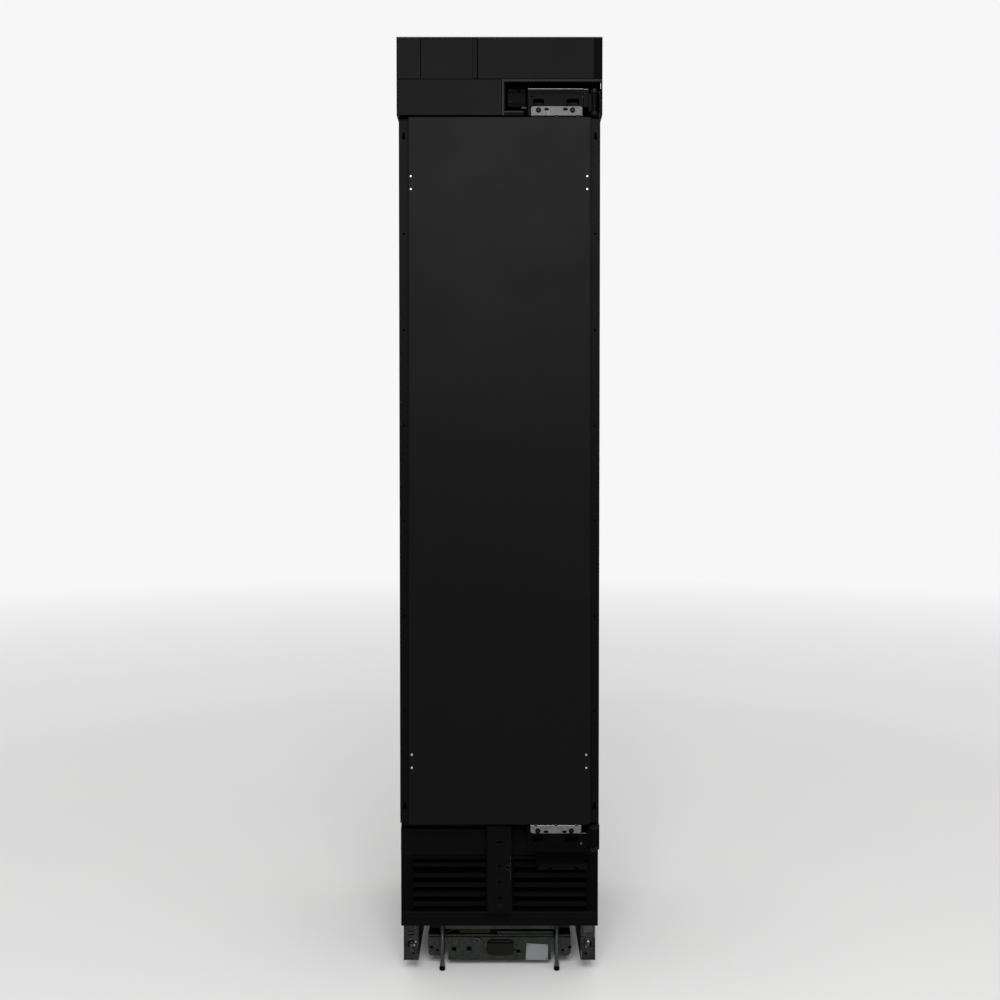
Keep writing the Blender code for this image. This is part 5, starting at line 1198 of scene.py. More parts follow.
def toeGrille():
    low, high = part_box("toe_grille")
    face, rear, foot, top = low.y, high.y, low.z, high.z
    inner, shapes = halfWidth - grille["stile"], []
    for side in (-1, 1):
        stile = roundBox((side * inner, side * halfWidth), (face, rear), (foot, top), 0.0012, corner=0.0016)
        reveal = (side * (inner - 0.0030), side * (inner + 0.001))
        groove = (side * (inner + 0.0030), side * (inner + 0.0046))
        shapes.append(stile)
        shapes.append(roundBox(reveal, (face + 0.0020, rear - 0.004), (foot + 0.002, top - 0.002), 0.0008))
        shapes.append(roundBox(groove, (face, face + 0.002), (foot + 0.006, top - 0.006), 0.0004))
    shapes.append(roundBox((-grille["middle"], grille["middle"]), (face + 0.0004, rear), (foot, top), 0.0012))
    across, topRail = (-inner - 0.001, inner + 0.001), grille["topRail"]
    shapes.append(roundBox(across, (face, rear), (foot, foot + grille["rail"]), 0.0009, axis="X"))
    shapes.append(roundBox(across, (face, rear), (top - topRail, top - grille["seam"]), 0.0009, axis="X"))
    shapes.append(roundBox(across, (face + 0.004, rear), (top - topRail / 2, top), 0.0004, axis="X"))
    section, rise = slatSection()
    for z in grille["slatZ"]:
        outline = section + (face + 0.0034, z - rise / 2)
        for side in (-1, 1):
            ends = sorted((side * (grille["middle"] - 0.001), side * (inner + 0.001)))
            shapes.append(slab("X", outline, *ends, 0.0002))
            stop = side * (inner - 0.0030)
            stop = (stop, stop + side * 0.0050), (face + 0.0002, face + 0.004), (z + 0.0090, z + 0.0125)
            shapes.append(roundBox(*stop, 0.0006))
    piece("toe_grille_louvres", shapes, blackPlastic, "toe_grille")
    # black sheet behind the slats, painted shade that makes the gaps between them read as deep
    shadeSheet = roundBox((-inner, inner), (rear - 0.0030, rear - 0.0006), (foot + 0.003, top - 0.003), 0.0006)
    piece("grille_baffle", [shadeSheet], shadeBlack)
    # hinge bearer: plate under the lower housing, black painted as its shadow, and its lighter folded foot with
    # two oval holes
    xs, zs = grille["bearer"]
    block = roundBox(xs, (face - 0.0080, face), zs, 0.0010, axis="X", corner=0.0010)
    piece("hinge_bearer", [block], shadedPaint)
    near, far = face - 0.006, face + 0.002
    z0, z1 = grille["footOvalZ"]
    ovals = [oval((x - 0.0052, z0), (x + 0.0052, z1), 0.0021, near, far) for x in grille["footOvals"]]
    xs, zs = grille["foot"]
    step = roundBox(xs, (face - 0.0020, face + 0.0004), zs, 0.0008, axis="Y", corner=0.0016)
    piece("hinge_bearer_foot", [step], mattShadePaint, cuts=ovals)
    # push-in clips at the corners
    button = [(0.0004, 0.0001), (0.0020, 0.0003), (0.0026, 0.0013), (0.0026, 0.0039)]
    clips = [lathe("Y", (x, z), button, 20, start=face) for x in grille["clipX"] for z in grille["clipZ"]]
    piece("grille_clips", clips, hingeBlack)


centreStrut()
toeGrille()
softened("base_pan", mattShadePaint, 0.0010)


# rolled bead along the rail's top edge, in paint lightened as a painted highlight
def railBead():
    low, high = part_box("base_pan")
    depth, tall = (low.y - 0.0012, low.y + 0.0010), (high.z - 0.0006, high.z + 0.0010)
    bead = roundBox((low.x, high.x), depth, tall, 0.0007, axis="X", corner=0.0007)
    piece("base_rail_bead", [bead], rimHighlightPaint)


railBead()
print("strut and grille done")


# Base: bridge, grip, blank plate, brackets, legs and adjusters

base = {
    "sheet": 0.0025,
    "bend": 0.0040,
    "plateSetback": 0.127,
    "lipSetback": 0.118,
    "lipZ": 0.0925,
    "shelfZ": 0.0765,
    "earZ": 0.0255,
    "outerX": 0.168,
    "innerX": 0.1195,
    "notchZ": 0.0640,
    "holes": ((-0.1072, 0.0413, 0.0052), (-0.0715, 0.0413, 0.0056), (0.0440, 0.0360, 0.0042)),
    "earHoles": (
        (-0.1605, 0.0456, 0.0034), (-0.1464, 0.0384, 0.0032), (0.1652, 0.0456, 0.0036), (0.1487, 0.0384, 0.0030)
    ),
    "smallHoles": ((0.0392, 0.0500, 0.0018), (0.0370, 0.0400, 0.0016)),
    "gripX": (-0.0300, 0.0335),
    "gripZ": (0.0265, 0.0640),
    "blank": ((0.0612, 0.0150), (0.1140, 0.0150), (0.1146, 0.0520), (0.0642, 0.0545)),
    "rivets": ((0.0668, 0.0508), (0.1118, 0.0488), (0.0642, 0.0182), (0.1112, 0.0182)),
    "innerBar": ((-0.0060, 0.1265), (0.0770, 0.0838)),
    "leftBar": ((-0.0960, -0.0205), (0.0770, 0.0895)),
    "leftWire": ((-0.1290, 0.0775), (-0.1130, 0.0860), (-0.0950, 0.0885)),
    "clip": ((-0.0200, -0.0065), (0.0755, 0.0960)),
    "legX": 0.134,
    "legSetback": 0.110,
    "nutZ": 0.1262,
    "boreZ": (0.060, 0.140),
}


# raised ring round a hole: a small rounded profile turned about it
def pressedRim(place, radius, face, height, width, steps=26):
    profile = [
        (radius, 0.001), (radius, -height * 0.6), (radius + width * 0.35, -height),
        (radius + width * 0.8, -height * 0.4), (radius + width, 0.001),
    ]
    return lathe("Y", place, profile, steps, loop=True, start=face)


def bridgePlate():
    low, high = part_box("base_cross_plate")
    face, sheet = front + base["plateSetback"], base["sheet"]
    bottom, top, shelf, ear, notch = low.z, high.z, base["shelfZ"], base["earZ"], base["notchZ"]
    outer, inner = base["outerX"], base["innerX"]
    side = [
        (outer, shelf - 0.0024), (outer, ear + 0.006), (outer - 0.005, ear), (inner + 0.0115, ear),
        (inner + 0.0085, ear + 0.004), (inner + 0.0085, notch), (inner + 0.0035, notch), (inner, notch - 0.012),
        (inner + 0.0020, bottom + 0.003), (inner + 0.0005, bottom),
    ]
    outline = side + [(-x, z) for x, z in side[::-1]]
    holes = base["holes"] + base["earHoles"] + base["smallHoles"]
    cuts = [bore("Y", (x, z), r, face - 0.004, face + 0.006, 28) for x, z, r in holes]
    plate = slab("Y", outline, face, face + sheet, 0.0004)
    piece("bridge_plate", [plate], darkenedZinc, "base_cross_plate", cuts=cuts)
    rear = face + sheet
    # cups behind the holes, in black painted as their shade
    cups = [bore("Y", (x, z), r + 0.0012, rear - 0.0002, rear + 0.003) for x, z, r in holes]
    piece("bridge_hole_cups", cups, shadeBlack)
    half, lip, lipZ = sheet / 2, front + base["lipSetback"], base["lipZ"]
    rear = high.y - half
    line = [
        (face + half, shelf - 0.0080), (face + half, shelf - half), (rear, shelf - half), (rear, top - half),
        (lip + half, top - half), (lip + half, lipZ),
    ]
    folded = foldedSheet(line, (outer, outer, outer, 0.150, 0.1405, 0.1405), base["bend"])
    piece("bridge_fold", [folded], darkenedZinc, wall=(sheet, 0.0), bevel=0.0004)
    rims = [pressedRim((x, z), r, face, 0.0011, 0.0018) for x, z, r in base["holes"]]
    rims += [pressedRim((x, z), r, face, 0.0006, 0.0012) for x, z, r in base["earHoles"]]
    piece("bridge_hole_rims", rims, mottledShadeZinc)
    # strengthening bar in the opening over the plate, an olive-stained one darkened as painted shade on its
    # left, a black clip between
    xs, zs = base["innerBar"]
    bar = roundBox(xs, (face - 0.0006, face + 0.0040), zs, 0.0012, axis="X", corner=0.0024)
    piece("bridge_bar", [bar], darkenedZinc)
    xs, zs = base["leftBar"]
    left = roundBox(xs, (face + 0.0015, face + 0.0060), zs, 0.0012, axis="X", corner=0.0022)
    wire = tube([(x, face + 0.004, z) for x, z in base["leftWire"]], 0.0026, 12)
    piece("bridge_bar_left", [left, wire], oliveShadeZinc)
    xs, zs = base["clip"]
    piece("bridge_clip", [roundBox(xs, (face - 0.0016, face + 0.014), zs, 0.0016)], blackPlastic)
    centres = [(sign * base["legX"], front + base["legSetback"]) for sign in (-1, 1)]
    nuts = [hexHead("Z", centre, base["nutZ"], -1, 0.0160, 0.0050) for centre in centres]
    bores = [bore("Z", centre, 0.0062, *base["boreZ"], 28) for centre in centres]
    piece("leg_nuts", nuts, darkSteel, cuts=bores)


# grip: a rounded cover whose face rises from its rim in rings, undercut along its top
def gripAndPlate():
    face = front + base["plateSetback"]
    (x0, x1), (z0, z1) = base["gripX"], base["gripZ"]
    insets = np.array([0.0, 0.0, 0.0012, 0.0034, 0.0062, 0.0092, 0.0122, 0.0152])
    lift = np.array([0.0, -0.0030, -0.0050, -0.0064, -0.0074, -0.0079, -0.0082, -0.0083])
    rings = roundedRings((x0, z0), (x1, z1), insets, 0.0105, 7)
    body = loft(onAxis("Y", rings, (face + 0.0008 + lift)[:, None]))
    depth, tall = (face - 0.0150, face - 0.0012), (z1 - 0.0072, z1 - 0.0028)
    groove = roundBox((x0 + 0.0025, x1 - 0.0040), depth, tall, 0.0012, axis="X")
    dimple = oval((-0.0075, z0 + 0.0035), (0.0095, z0 + 0.0080), 0.0020, face - 0.012, face - 0.0058, 0.0002)
    piece("base_grip", [body], gripBrown, cuts=[groove, dimple])
    # dark lining at the back of the groove: painted shadow under the grip's top edge
    depth, tall = (face - 0.0030, face - 0.0009), (z1 - 0.0070, z1 - 0.0030)
    lining = roundBox((x0 + 0.0035, x1 - 0.0050), depth, tall, 0.0006, axis="X")
    piece("base_grip_undercut", [lining], oliveShadeZinc)
    # bent wire hook left of the grip, and a small bright tongue under it
    hook = [
        (-0.0590, face - 0.0008, 0.0668), (-0.0530, face - 0.0030, 0.0672), (-0.0460, face - 0.0045, 0.0640),
        (-0.0415, face - 0.0050, 0.0585), (-0.0395, face - 0.0040, 0.0530), (-0.0360, face - 0.0008, 0.0500),
    ]
    end = [(-0.0560, face - 0.0008, 0.0600), (-0.0510, face - 0.0032, 0.0612), (-0.0455, face - 0.0044, 0.0628)]
    wires = [tube(smoothPath(route), 0.0012, up=(0.2, 1.0, 0.1)) for route in (hook, end)]
    piece("base_wire_hook", wires, legZinc)
    outline = [(-0.0080, 0.0212), (0.0085, 0.0180), (0.0100, 0.0212), (-0.0065, 0.0244)]
    piece("base_tongue", [slab("Y", outline, face - 0.0010, face + 0.0004, 0.0004)], legZinc)
    piece("blank_plate", [slab("Y", base["blank"], face - 0.0009, face - 0.0001, 0.0003)], blankFace)
    rivet = [(0.0013, -0.0008), (0.0012, -0.0014), (0.0005, -0.0017)]
    rivets = [lathe("Y", place, rivet, 16, start=face) for place in base["rivets"]]
    piece("blank_plate_rivets", rivets, darkSteel)


leg = {
    "pitch": 0.0016,
    "depth": 0.0006,
    "radius": 0.0050,
    "sides": 28,
    "threadZ": 0.0700,
    "fade": 0.003,             # over which the thread runs out
    "stem": (
        (0.0044, 0.0090), (0.0053, 0.0096), (0.0058, 0.0116), (0.0058, 0.0150), (0.0052, 0.0172),
        (0.0047, 0.0190), (0.0047, 0.0220), (0.0049, 0.0680), (0.0047, 0.0704), (0.0044, 0.0712),
    ),
    "pad": (
        (0.0050, 0.0), (0.0062, 0.0), (0.0068, 0.0010), (0.0068, 0.0060), (0.0062, 0.0084), (0.0044, 0.0096)
    ),
}


# threaded leg: radius = crest - depth * triangle wave of (height / pitch - angle / full turn)
def threadedLeg(word):
    node = "leg_" + word
    centre, high = middleOf(node, "XY"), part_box(node)[1]
    pitch, sides, start, end = leg["pitch"], leg["sides"], leg["threadZ"], high.z - 0.0008
    height = np.linspace(start, end, int((end - start) / pitch * 6))
    angle = fullTurn(sides)
    wave = np.abs(((height[:, None] / pitch - angle[None, :] / (2 * math.pi)) % 1.0) * 2 - 1)
    fade = np.clip(np.minimum(height - start, end - height) / leg["fade"], 0, 1)[:, None]
    spread = leg["radius"] - leg["depth"] * (1 - wave) * fade
    shank = loft(onAxis("Z", centre + spread[..., None] * circle(angle)[None], height[:, None]))
    piece(node + "_thread", [shank, lathe("Z", centre, leg["stem"], 36)], legZinc, node, node, smooth=48)
    piece(node + "_pad", [lathe("Z", centre, leg["pad"], 32)], blackPlastic, body=node)


# adjuster: long rod with a chamfered hexagon head on a flange
def adjusterRod(word):
    node = "adjuster_" + word
    low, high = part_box(node)
    centre = middleOf(node, "XZ")
    hexagon = hexHead("Y", centre, low.y + 0.0076, -1, 0.0090, 0.0076, washer=0.0062)
    end = [(0.0038, high.y - 0.0008), (0.0030, high.y)]
    rod = lathe("Y", centre, [(0.0020, low.y + 0.007), (0.0038, low.y + 0.0072), *end], 28)
    piece(node + "_rod", [hexagon, rod], legZinc, node, node)
    tip = [(0.0002, -0.0002), (0.0011, 0.0), (0.0017, 0.0008), (0.0018, 0.003)]
    tip = lathe("Y", centre + (0.0, 0.0008), tip, 20, start=low.y)
    piece(node + "_tip", [tip], legZinc, body=node)


# hole places count outwards along x from the rail's middle
rail = {
    "holes": ((-0.004, 0.0455, 0.0030), (0.006, 0.1130, 0.0024)),
    "seatZ": 0.0680,
    "seat": ((0.0092, 0.001), (0.0094, -0.0010), (0.0106, -0.0016), (0.0120, -0.0008), (0.0124, 0.001)),
    "seatRadius": 0.0088,
    "boreRadius": 0.0043,
    "swirls": (0.0150, 0.0182),
    "outerX": 0.2226,
    "innerX": 0.1888,
    "screwZ": 0.0800,
    "left": {
        "side": -1, "slotZ": (0.0885, 0.0965), "capZ": (0.1010, 0.1250), "cap": mottledShadeZinc,
        "bolts": ((-0.1951, 0.0735, 0.0023), (-0.1986, 0.0657, 0.0026)),
    },
    "right": {
        "side": 1, "slotZ": (0.0990,), "capZ": (0.0960, 0.1250), "cap": legZinc,
        "bolts": ((0.2061, 0.0730, 0.0034), (0.2024, 0.0624, 0.0024)),
    },
}


# rail front: pierced and pressed, a flange along its outer edge, a swirl round the adjuster
def railFront(word, kind):
    node, side = "base_rail_" + word, kind["side"]
    low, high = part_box(node)
    face, middle = low.y, (low.x + high.x) / 2
    near, far = face - 0.004, face + 0.006
    holes = [((middle + side * x, z), r) for x, z, r in rail["holes"]]
    cuts = [bore("Y", place, r, near, far) for place, r in holes]
    for z in kind["slotZ"]:
        cuts.append(oval((middle - 0.0085, z), (middle + 0.0075, z + 0.0026), 0.0012, near, far))
    softened(node, mottledShadeZinc, 0.0007, cuts=cuts)
    seat = (middle, rail["seatZ"])
    shapes = [pressedRim(place, r, face, 0.0008, 0.0014, 24) for place, r in holes]
    shapes.append(lathe("Y", seat, rail["seat"], 40, loop=True, start=face))
    turn = np.linspace(math.radians(20), math.radians(160), 12)
    for reach in rail["swirls"]:
        arc = np.stack([seat[0] + reach * np.cos(turn), np.full(12, face), seat[1] - reach * np.sin(turn)], -1)
        shapes.append(tube(arc, 0.0008, 8, up=(0.0, 1.0, 0.0)))
    outer, inner = side * rail["outerX"], side * rail["innerX"]
    tall = (low.z + 0.001, high.z - 0.002)
    shapes.append(roundBox((outer, outer - side * 0.0022), (face - 0.0034, face + 0.001), tall, 0.0006))
    tall = (low.z + 0.001, low.z + 0.024)
    fold = roundBox((inner, inner + side * 0.0020), (face - 0.0022, face + 0.001), tall, 0.0006)
    piece("rail_front_" + word, shapes if side > 0 else shapes + [fold], mottledShadeZinc)
    lid = roundBox((middle - 0.0105, middle + 0.0130), (face - 0.0020, face + 0.0008), kind["capZ"], 0.0009)
    piece("rail_cap_" + word, [lid], kind["cap"])
    # the right rail's edges in bright zinc, as painted highlights
    if side > 0:
        tall = (0.0850, high.z - 0.001)
        edge = roundBox((outer - 0.0004, outer - 0.0030), (face - 0.0038, face), tall, 0.0007)
        piece("rail_edges_" + word, [edge, fold], plateZinc)
    bright = [screwHead("Y", (x, z), face, -1, r, 0.0022) for x, z, r in kind["bolts"]]
    piece("rail_bolts_" + word, bright, steel)
    # dark ring round the adjuster seat: painted shadow
    dark = bore("Y", seat, rail["seatRadius"], face - 0.0004, face + 0.001, 32)
    hole = bore("Y", seat, rail["boreRadius"], face - 0.01, face + 0.01, 28)
    piece("rail_hollow_" + word, [dark], shadeBlack, cuts=[hole])
    screw = screwHead("Y", (middle - side * 0.0045, rail["screwZ"]), face, -1, 0.0032, 0.0018)
    piece("rail_screw_" + word, [screw], darkenedZinc)


bridgePlate()
gripAndPlate()
for side, word in sides:
    threadedLeg(word)
    adjusterRod(word)
    railFront(word, rail[word])
print("base done")


# Rear lifts and rollers

roller = {"tyre": 0.0058, "bore": 0.0043, "hub": 0.0090}


# roller: tyre with rounded shoulders, a sunk web and a hub, turned as one closed profile round the bore
def rearRoller(word):
    node = "roller_" + word
    low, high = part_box(node)
    radius = (high.z - low.z) / 2 + 0.0001
    inside, hub, rim = roller["bore"], roller["hub"], radius - roller["tyre"]
    half = [
        (inside, low.x), (hub - 0.0006, low.x), (hub, low.x + 0.0006), (hub, low.x + 0.0040),
        (rim - 0.0008, low.x + 0.0040), (rim, low.x + 0.0020), (rim + 0.0012, low.x + 0.0004),
        (radius - 0.0022, low.x + 0.0004), (radius, low.x + 0.0030),
    ]
    middle = (low.x + high.x) / 2
    profile = half + [(r, 2 * middle - x) for r, x in half[::-1]]
    wheel = lathe("X", middleOf(node, "YZ"), profile, 48, loop=True)
    piece(node + "_wheel", [wheel], greyPlastic, node, node)


def rearLift(word, side):
    node = "rear_lift_" + word
    softened(node, mottledShadeZinc, 0.0008, node)
    low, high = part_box(node)
    profile = [
        (0.0040, -side * 0.0002), (0.0062, -side * 0.0004), (0.0062, -side * 0.0012), (0.0042, -side * 0.0014),
    ]
    ring = lathe("X", middleOf("roller_" + word, "YZ"), profile, 28, start=low.x if side > 0 else high.x)
    piece("lift_clip_" + word, [ring], darkSteel, body=node)


for side, word in sides:
    rearRoller(word)
    rearLift(word, side)


# Outer sheets

sheets = {
    "ribDepth": 0.0022,
    "ribHalf": 0.020,
    "ribSoft": 0.006,
    "ribX": (-0.130, 0.0, 0.130),
    "rearRibZ": (0.56, 0.83, 1.10, 1.37, 1.64, 1.91),
    "rearRibHalf": (0.180, 0.030),
    "rearRise": 0.0006,
    "screwRadius": 0.0035,
    "vents": 9,
    "ventRise": 0.0347,        # of the lowest vent over the cover's foot
    "ventPitch": 0.018,
}


# pressed rib: smoothstep of the rounded-box distance, 1 inside and 0 beyond its soft edge
def ribMask(u, v, centre, half, radius, soft):
    du = np.abs(u - centre[0]) - (half[0] - radius)
    dv = np.abs(v - centre[1]) - (half[1] - radius)
    reach = np.hypot(np.maximum(du, 0), np.maximum(dv, 0)) + np.minimum(np.maximum(du, dv), 0) - radius
    t = np.clip(0.5 - reach / soft, 0, 1)
    return t * t * (3 - 2 * t)


# places along a side: even steps, with more of them where ribs start and end
def denseLine(low, high, coarse, edges, soft, steps=7):
    places = [np.linspace(low, high, coarse)]
    places += [np.linspace(edge - soft * 0.6, edge + soft * 0.6, steps) for edge in edges]
    return np.unique(np.clip(np.concatenate(places), low, high))


def topSheet():
    low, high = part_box("top_panel")
    soft, half = sheets["ribSoft"], sheets["ribHalf"]
    xs = denseLine(low.x, high.x, 24, [x + s * half for x in sheets["ribX"] for s in (-1, 1)], soft)
    ys = denseLine(low.y + 0.0020, high.y, 30, [-0.22, 0.24], soft * 4, 12)
    x, y = np.meshgrid(xs, ys, indexing="ij")
    drop = sum(ribMask(x, y, (c, 0.010), (half, 0.235), half * 0.98, soft) for c in sheets["ribX"])
    z = high.z - 0.0002 - sheets["ribDepth"] * drop
    piece("top_sheet_ribbed", [sheetGrid(np.stack([x, y, z], -1))], paint, "top_panel", wall=(0.0009, 1.0))
    # lip: the sheet's front edge rolled down over the fascia, its paint lightened as a painted highlight
    half = 0.0005
    line = [(low.y + half, low.z + 0.0003), (low.y + half, high.z - half), (low.y + 0.0060, high.z - half)]
    lip = foldedSheet(line, (high.x, high.x, high.x), 0.0016)
    piece("top_sheet_lip", [lip], highlightEdgePaint, wall=(0.001, 0.0), bevel=0.0002)
    places = [(x, y) for x in drawn((low.x, high.x), 0.012) for y in (-0.20, -0.04, 0.12, 0.26)]
    screws = [screwHead("Z", place, high.z - 0.0006, 1, sheets["screwRadius"], 0.0005) for place in places]
    piece("top_sheet_screws", screws, darkSteel)


def rearSheet():
    low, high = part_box("rear_panel")
    half, soft = sheets["rearRibHalf"], sheets["ribSoft"]
    edges = [z + s * half[1] for z in sheets["rearRibZ"] for s in (-1, 1)]
    xs = denseLine(low.x, high.x, 24, [-half[0], half[0]], soft * 5, 14)
    zs = denseLine(low.z, high.z, 60, edges, soft * 2, 8)
    x, z = np.meshgrid(xs, zs, indexing="ij")
    rise = sum(ribMask(x, z, (0.0, c), half, half[1] * 0.98, soft) for c in sheets["rearRibZ"])
    y = high.y - 0.0001 - sheets["rearRise"] * (1 - np.clip(rise, 0, 1))
    grid = sheetGrid(np.stack([x, y, z], -1))
    piece("rear_sheet_pressed", [grid], zincSheet, "rear_panel", wall=(0.0003, -1.0))
    rows = np.linspace(low.z + 0.03, high.z - 0.03, 7)
    places = [(x, z) for x in drawn((low.x, high.x), 0.010) for z in rows]
    places += [(x, z) for x in (-0.11, 0.0, 0.11) for z in drawn((low.z, high.z), 0.012)]
    screws = [hexHead("Y", place, high.y - 0.0009, 1, 0.0064, 0.0008, 0.0048, 36) for place in places]
    piece("rear_sheet_screws", screws, steel)


def machineCover():
    low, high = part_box("machine_rear_cover")
    softened("machine_rear_cover", zincSheet, 0.0003)
    reach, hoods = high.x * 0.6 - 0.001, []
    for i in range(sheets["vents"]):
        z = low.z + sheets["ventRise"] + i * sheets["ventPitch"]
        section = [
            (high.y - 0.0010, z + 0.0066), (high.y - 0.0002, z + 0.0068), (high.y - 0.0070, z - 0.0010),
            (high.y - 0.0080, z - 0.0006),
        ]
        hoods.append(slab("X", section, -reach, reach, 0.0002))
    piece("rear_vent_louvres", hoods, zincSheet)
    places = [(x, z) for x in (low.x + 0.012, 0.0, high.x - 0.012) for z in drawn((low.z, high.z), 0.012)]
    screws = [hexHead("Y", place, high.y - 0.0009, 1, 0.0064, 0.0009, 0.0048, 36) for place in places]
    piece("machine_cover_screws", screws, steel)


# side sheet with a column of sunk screws at its rear edge and at the fascia
def sideSheet(word, side):
    outer = side * halfWidth
    places = [(back - 0.012, z) for z in np.linspace(0.24, 2.06, 6)]
    places += [(front + 0.020, z) for z in (1.985, 2.085)] + [(front + 0.100, z) for z in (0.20, 0.34)]
    cone = [(0.0042, side * 0.001), (0.0040, -side * 0.0001), (0.0022, -side * 0.0008), (0.0022, -side * 0.003)]
    cuts = [lathe("X", place, cone, 24, start=outer) for place in places]
    if side > 0:
        xs, _, zs = spans("fascia_upper_right")
        stile = (xs[1] + 0.0004, outer - 0.0003)
        cuts.append(roundBox(stile, (front - 0.002, front + 0.0006), zs, 0.0001))
        # strip over the side sheet's front return, black painted as shade
        piece("fascia_stile", [roundBox(stile, (front, front + 0.0012), zs, 0.0004)], shadedPaint)
    softened("side_panel_" + word, paint, 0.0003, cuts=cuts)
    heads = [screwHead("X", place, outer - side * 0.0014, side, 0.0034, 0.0011) for place in places]
    piece("side_screws_" + word, heads, darkSteel)


topSheet()
rearSheet()
machineCover()
for side, word in sides:
    sideSheet(word, side)
print("outer sheets done")


# Cavity: liner, light bars, evaporator cover with its fan guard

cavity = {
    "wall": 0.002,
    "lipBend": 0.005,
    "backBend": 0.012,
    "corner": 0.016,
    "ribTops": (1.5300, 1.1200, 0.7000),
    "ribDepth": 0.010,
    "ribHeight": 0.008,
    "ribFront": -0.1469,
    "barY": (-0.2010, -0.1880),
    "barZ": (0.722, 1.820),    # above the drawer's rims, which slide past
    "fanCentre": (0.0, 1.3004),
    "guardRings": (0.013, 0.0235, 0.034, 0.0445, 0.055),
    "guardSpokes": 8,
    "capX": (-0.150, 0.150),
    "capZ": (0.500, 0.850, 1.220, 1.470, 1.860),
    "mouldings": (0.780, 0.900, 1.020),
}
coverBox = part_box("evaporator_cover")
wallX = coverBox[1].x + hair
floorZ, ceilingZ = coverBox[0].z - hair, coverBox[1].z + hair


# rows from the outside of the rear wall, along the tub, over the flange and lip, and in to the rear wall
def linerShell():
    low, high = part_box("inner_liner")
    wall, lip, bend, corner = (cavity[key] for key in ("wall", "lipBend", "backBend", "corner"))
    turn = list(zip(*quarterTurn(6)))
    inLow = np.array([-wallX, floorZ])
    rows = [(inLow - wall + bend * fall, high.y - bend * rise, corner) for fall, rise in turn]
    rows.append((inLow - wall, low.y + wall, corner + wall))
    for inset, y in ((0.0, low.y + wall), (0.0, low.y + 0.0004), (0.0004, low.y)):
        rows.append(((low.x + inset, low.z + inset), y, 0.004))
    rows += [(inLow - lip * fall, low.y + lip * rise, corner + lip * fall) for fall, rise in turn]
    rows += [(inLow + bend * fall, high.y - wall - bend * rise, corner) for fall, rise in turn[::-1]]
    lows = np.array([row[0] for row in rows])
    rings = frames(lows, np.array([0.0, floorZ + ceilingZ]) - lows, [row[2] for row in rows])
    shapes = [loft(onAxis("Y", rings, np.array([row[1] for row in rows])[:, None]))]
    depth = (cavity["ribFront"], coverBox[0].y - hair)
    for top in cavity["ribTops"]:
        tall = (top - cavity["ribHeight"], top)
        for side in (-1, 1):
            xs = (side * (wallX - cavity["ribDepth"]), side * (wallX + 0.001))
            shapes.append(roundBox(xs, depth, tall, 0.0026, axis="Y", corner=0.0026))
    piece("inner_liner_shell", shapes, whiteLiner, "inner_liner", smooth=40)


def lightBars():
    lenses, bezels = [], []
    wide, tall = drawn(cavity["barY"], -0.003), drawn(cavity["barZ"], -0.006)
    for side in (-1, 1):
        wall = side * (wallX + 0.0005)
        inner, outer = (side * (wallX - 0.0022), wall), (side * (wallX - 0.0010), wall)
        lenses.append(roundBox(inner, cavity["barY"], cavity["barZ"], 0.0012, corner=0.0016))
        bezels.append(roundBox(outer, wide, tall, 0.0006, axis="X", corner=0.004))
    piece("light_bar_lenses", lenses, lens)
    piece("light_bar_frames", bezels, satinTrim)


def evaporatorCover():
    softened("evaporator_cover", whiteLiner, 0.0010)
    centre, face = cavity["fanCentre"], coverBox[0].y
    rim = [(0.0600, 0.001), (0.0600, -0.0030), (0.0615, -0.0042), (0.0660, -0.0030), (0.0680, 0.001)]
    middle = [(0.0090, 0.0005), (0.0090, -0.0018), (0.0078, -0.0030), (0.0010, -0.0034)]
    shapes, turn = [lathe("Y", centre, rim, 64, loop=True, start=face)], fullTurn(48)
    for radius in cavity["guardRings"]:
        ring = onAxis("Y", centre + radius * circle(turn), face - 0.0012)
        shapes.append(tube(ring, 0.0011, 8, up=(0.0, 1.0, 0.0), loop=True))
    shapes.append(lathe("Y", centre, middle, 36, start=face))
    ray = np.linspace(0.006, 0.0612, 6)
    for angle in fullTurn(cavity["guardSpokes"]):
        spoke = np.stack([centre[0] + ray * math.cos(angle), centre[1] + ray * math.sin(angle)], -1)
        shapes.append(tube(onAxis("Y", spoke, face - 0.0004), 0.0013, 8, up=(0.0, 1.0, 0.0)))
    piece("fan_guard", shapes, whiteLiner)
    cap = [(0.0060, 0.0005), (0.0060, -0.0010), (0.0052, -0.0018), (0.0010, -0.0020)]
    caps = [lathe("Y", (x, z), cap, 28, start=face) for x in cavity["capX"] for z in cavity["capZ"]]
    piece("cover_screw_caps", caps, whiteLiner)
    depth = (face - 0.0016, face + 0.001)
    bars = [roundBox((-0.160, 0.160), depth, (z, z + 0.004), 0.0010, axis="X") for z in cavity["mouldings"]]
    piece("cover_mouldings", bars, whiteLiner)


linerShell()
lightBars()
evaporatorCover()


fan = {"blades": 5, "hub": 0.017, "sheet": 0.0014}


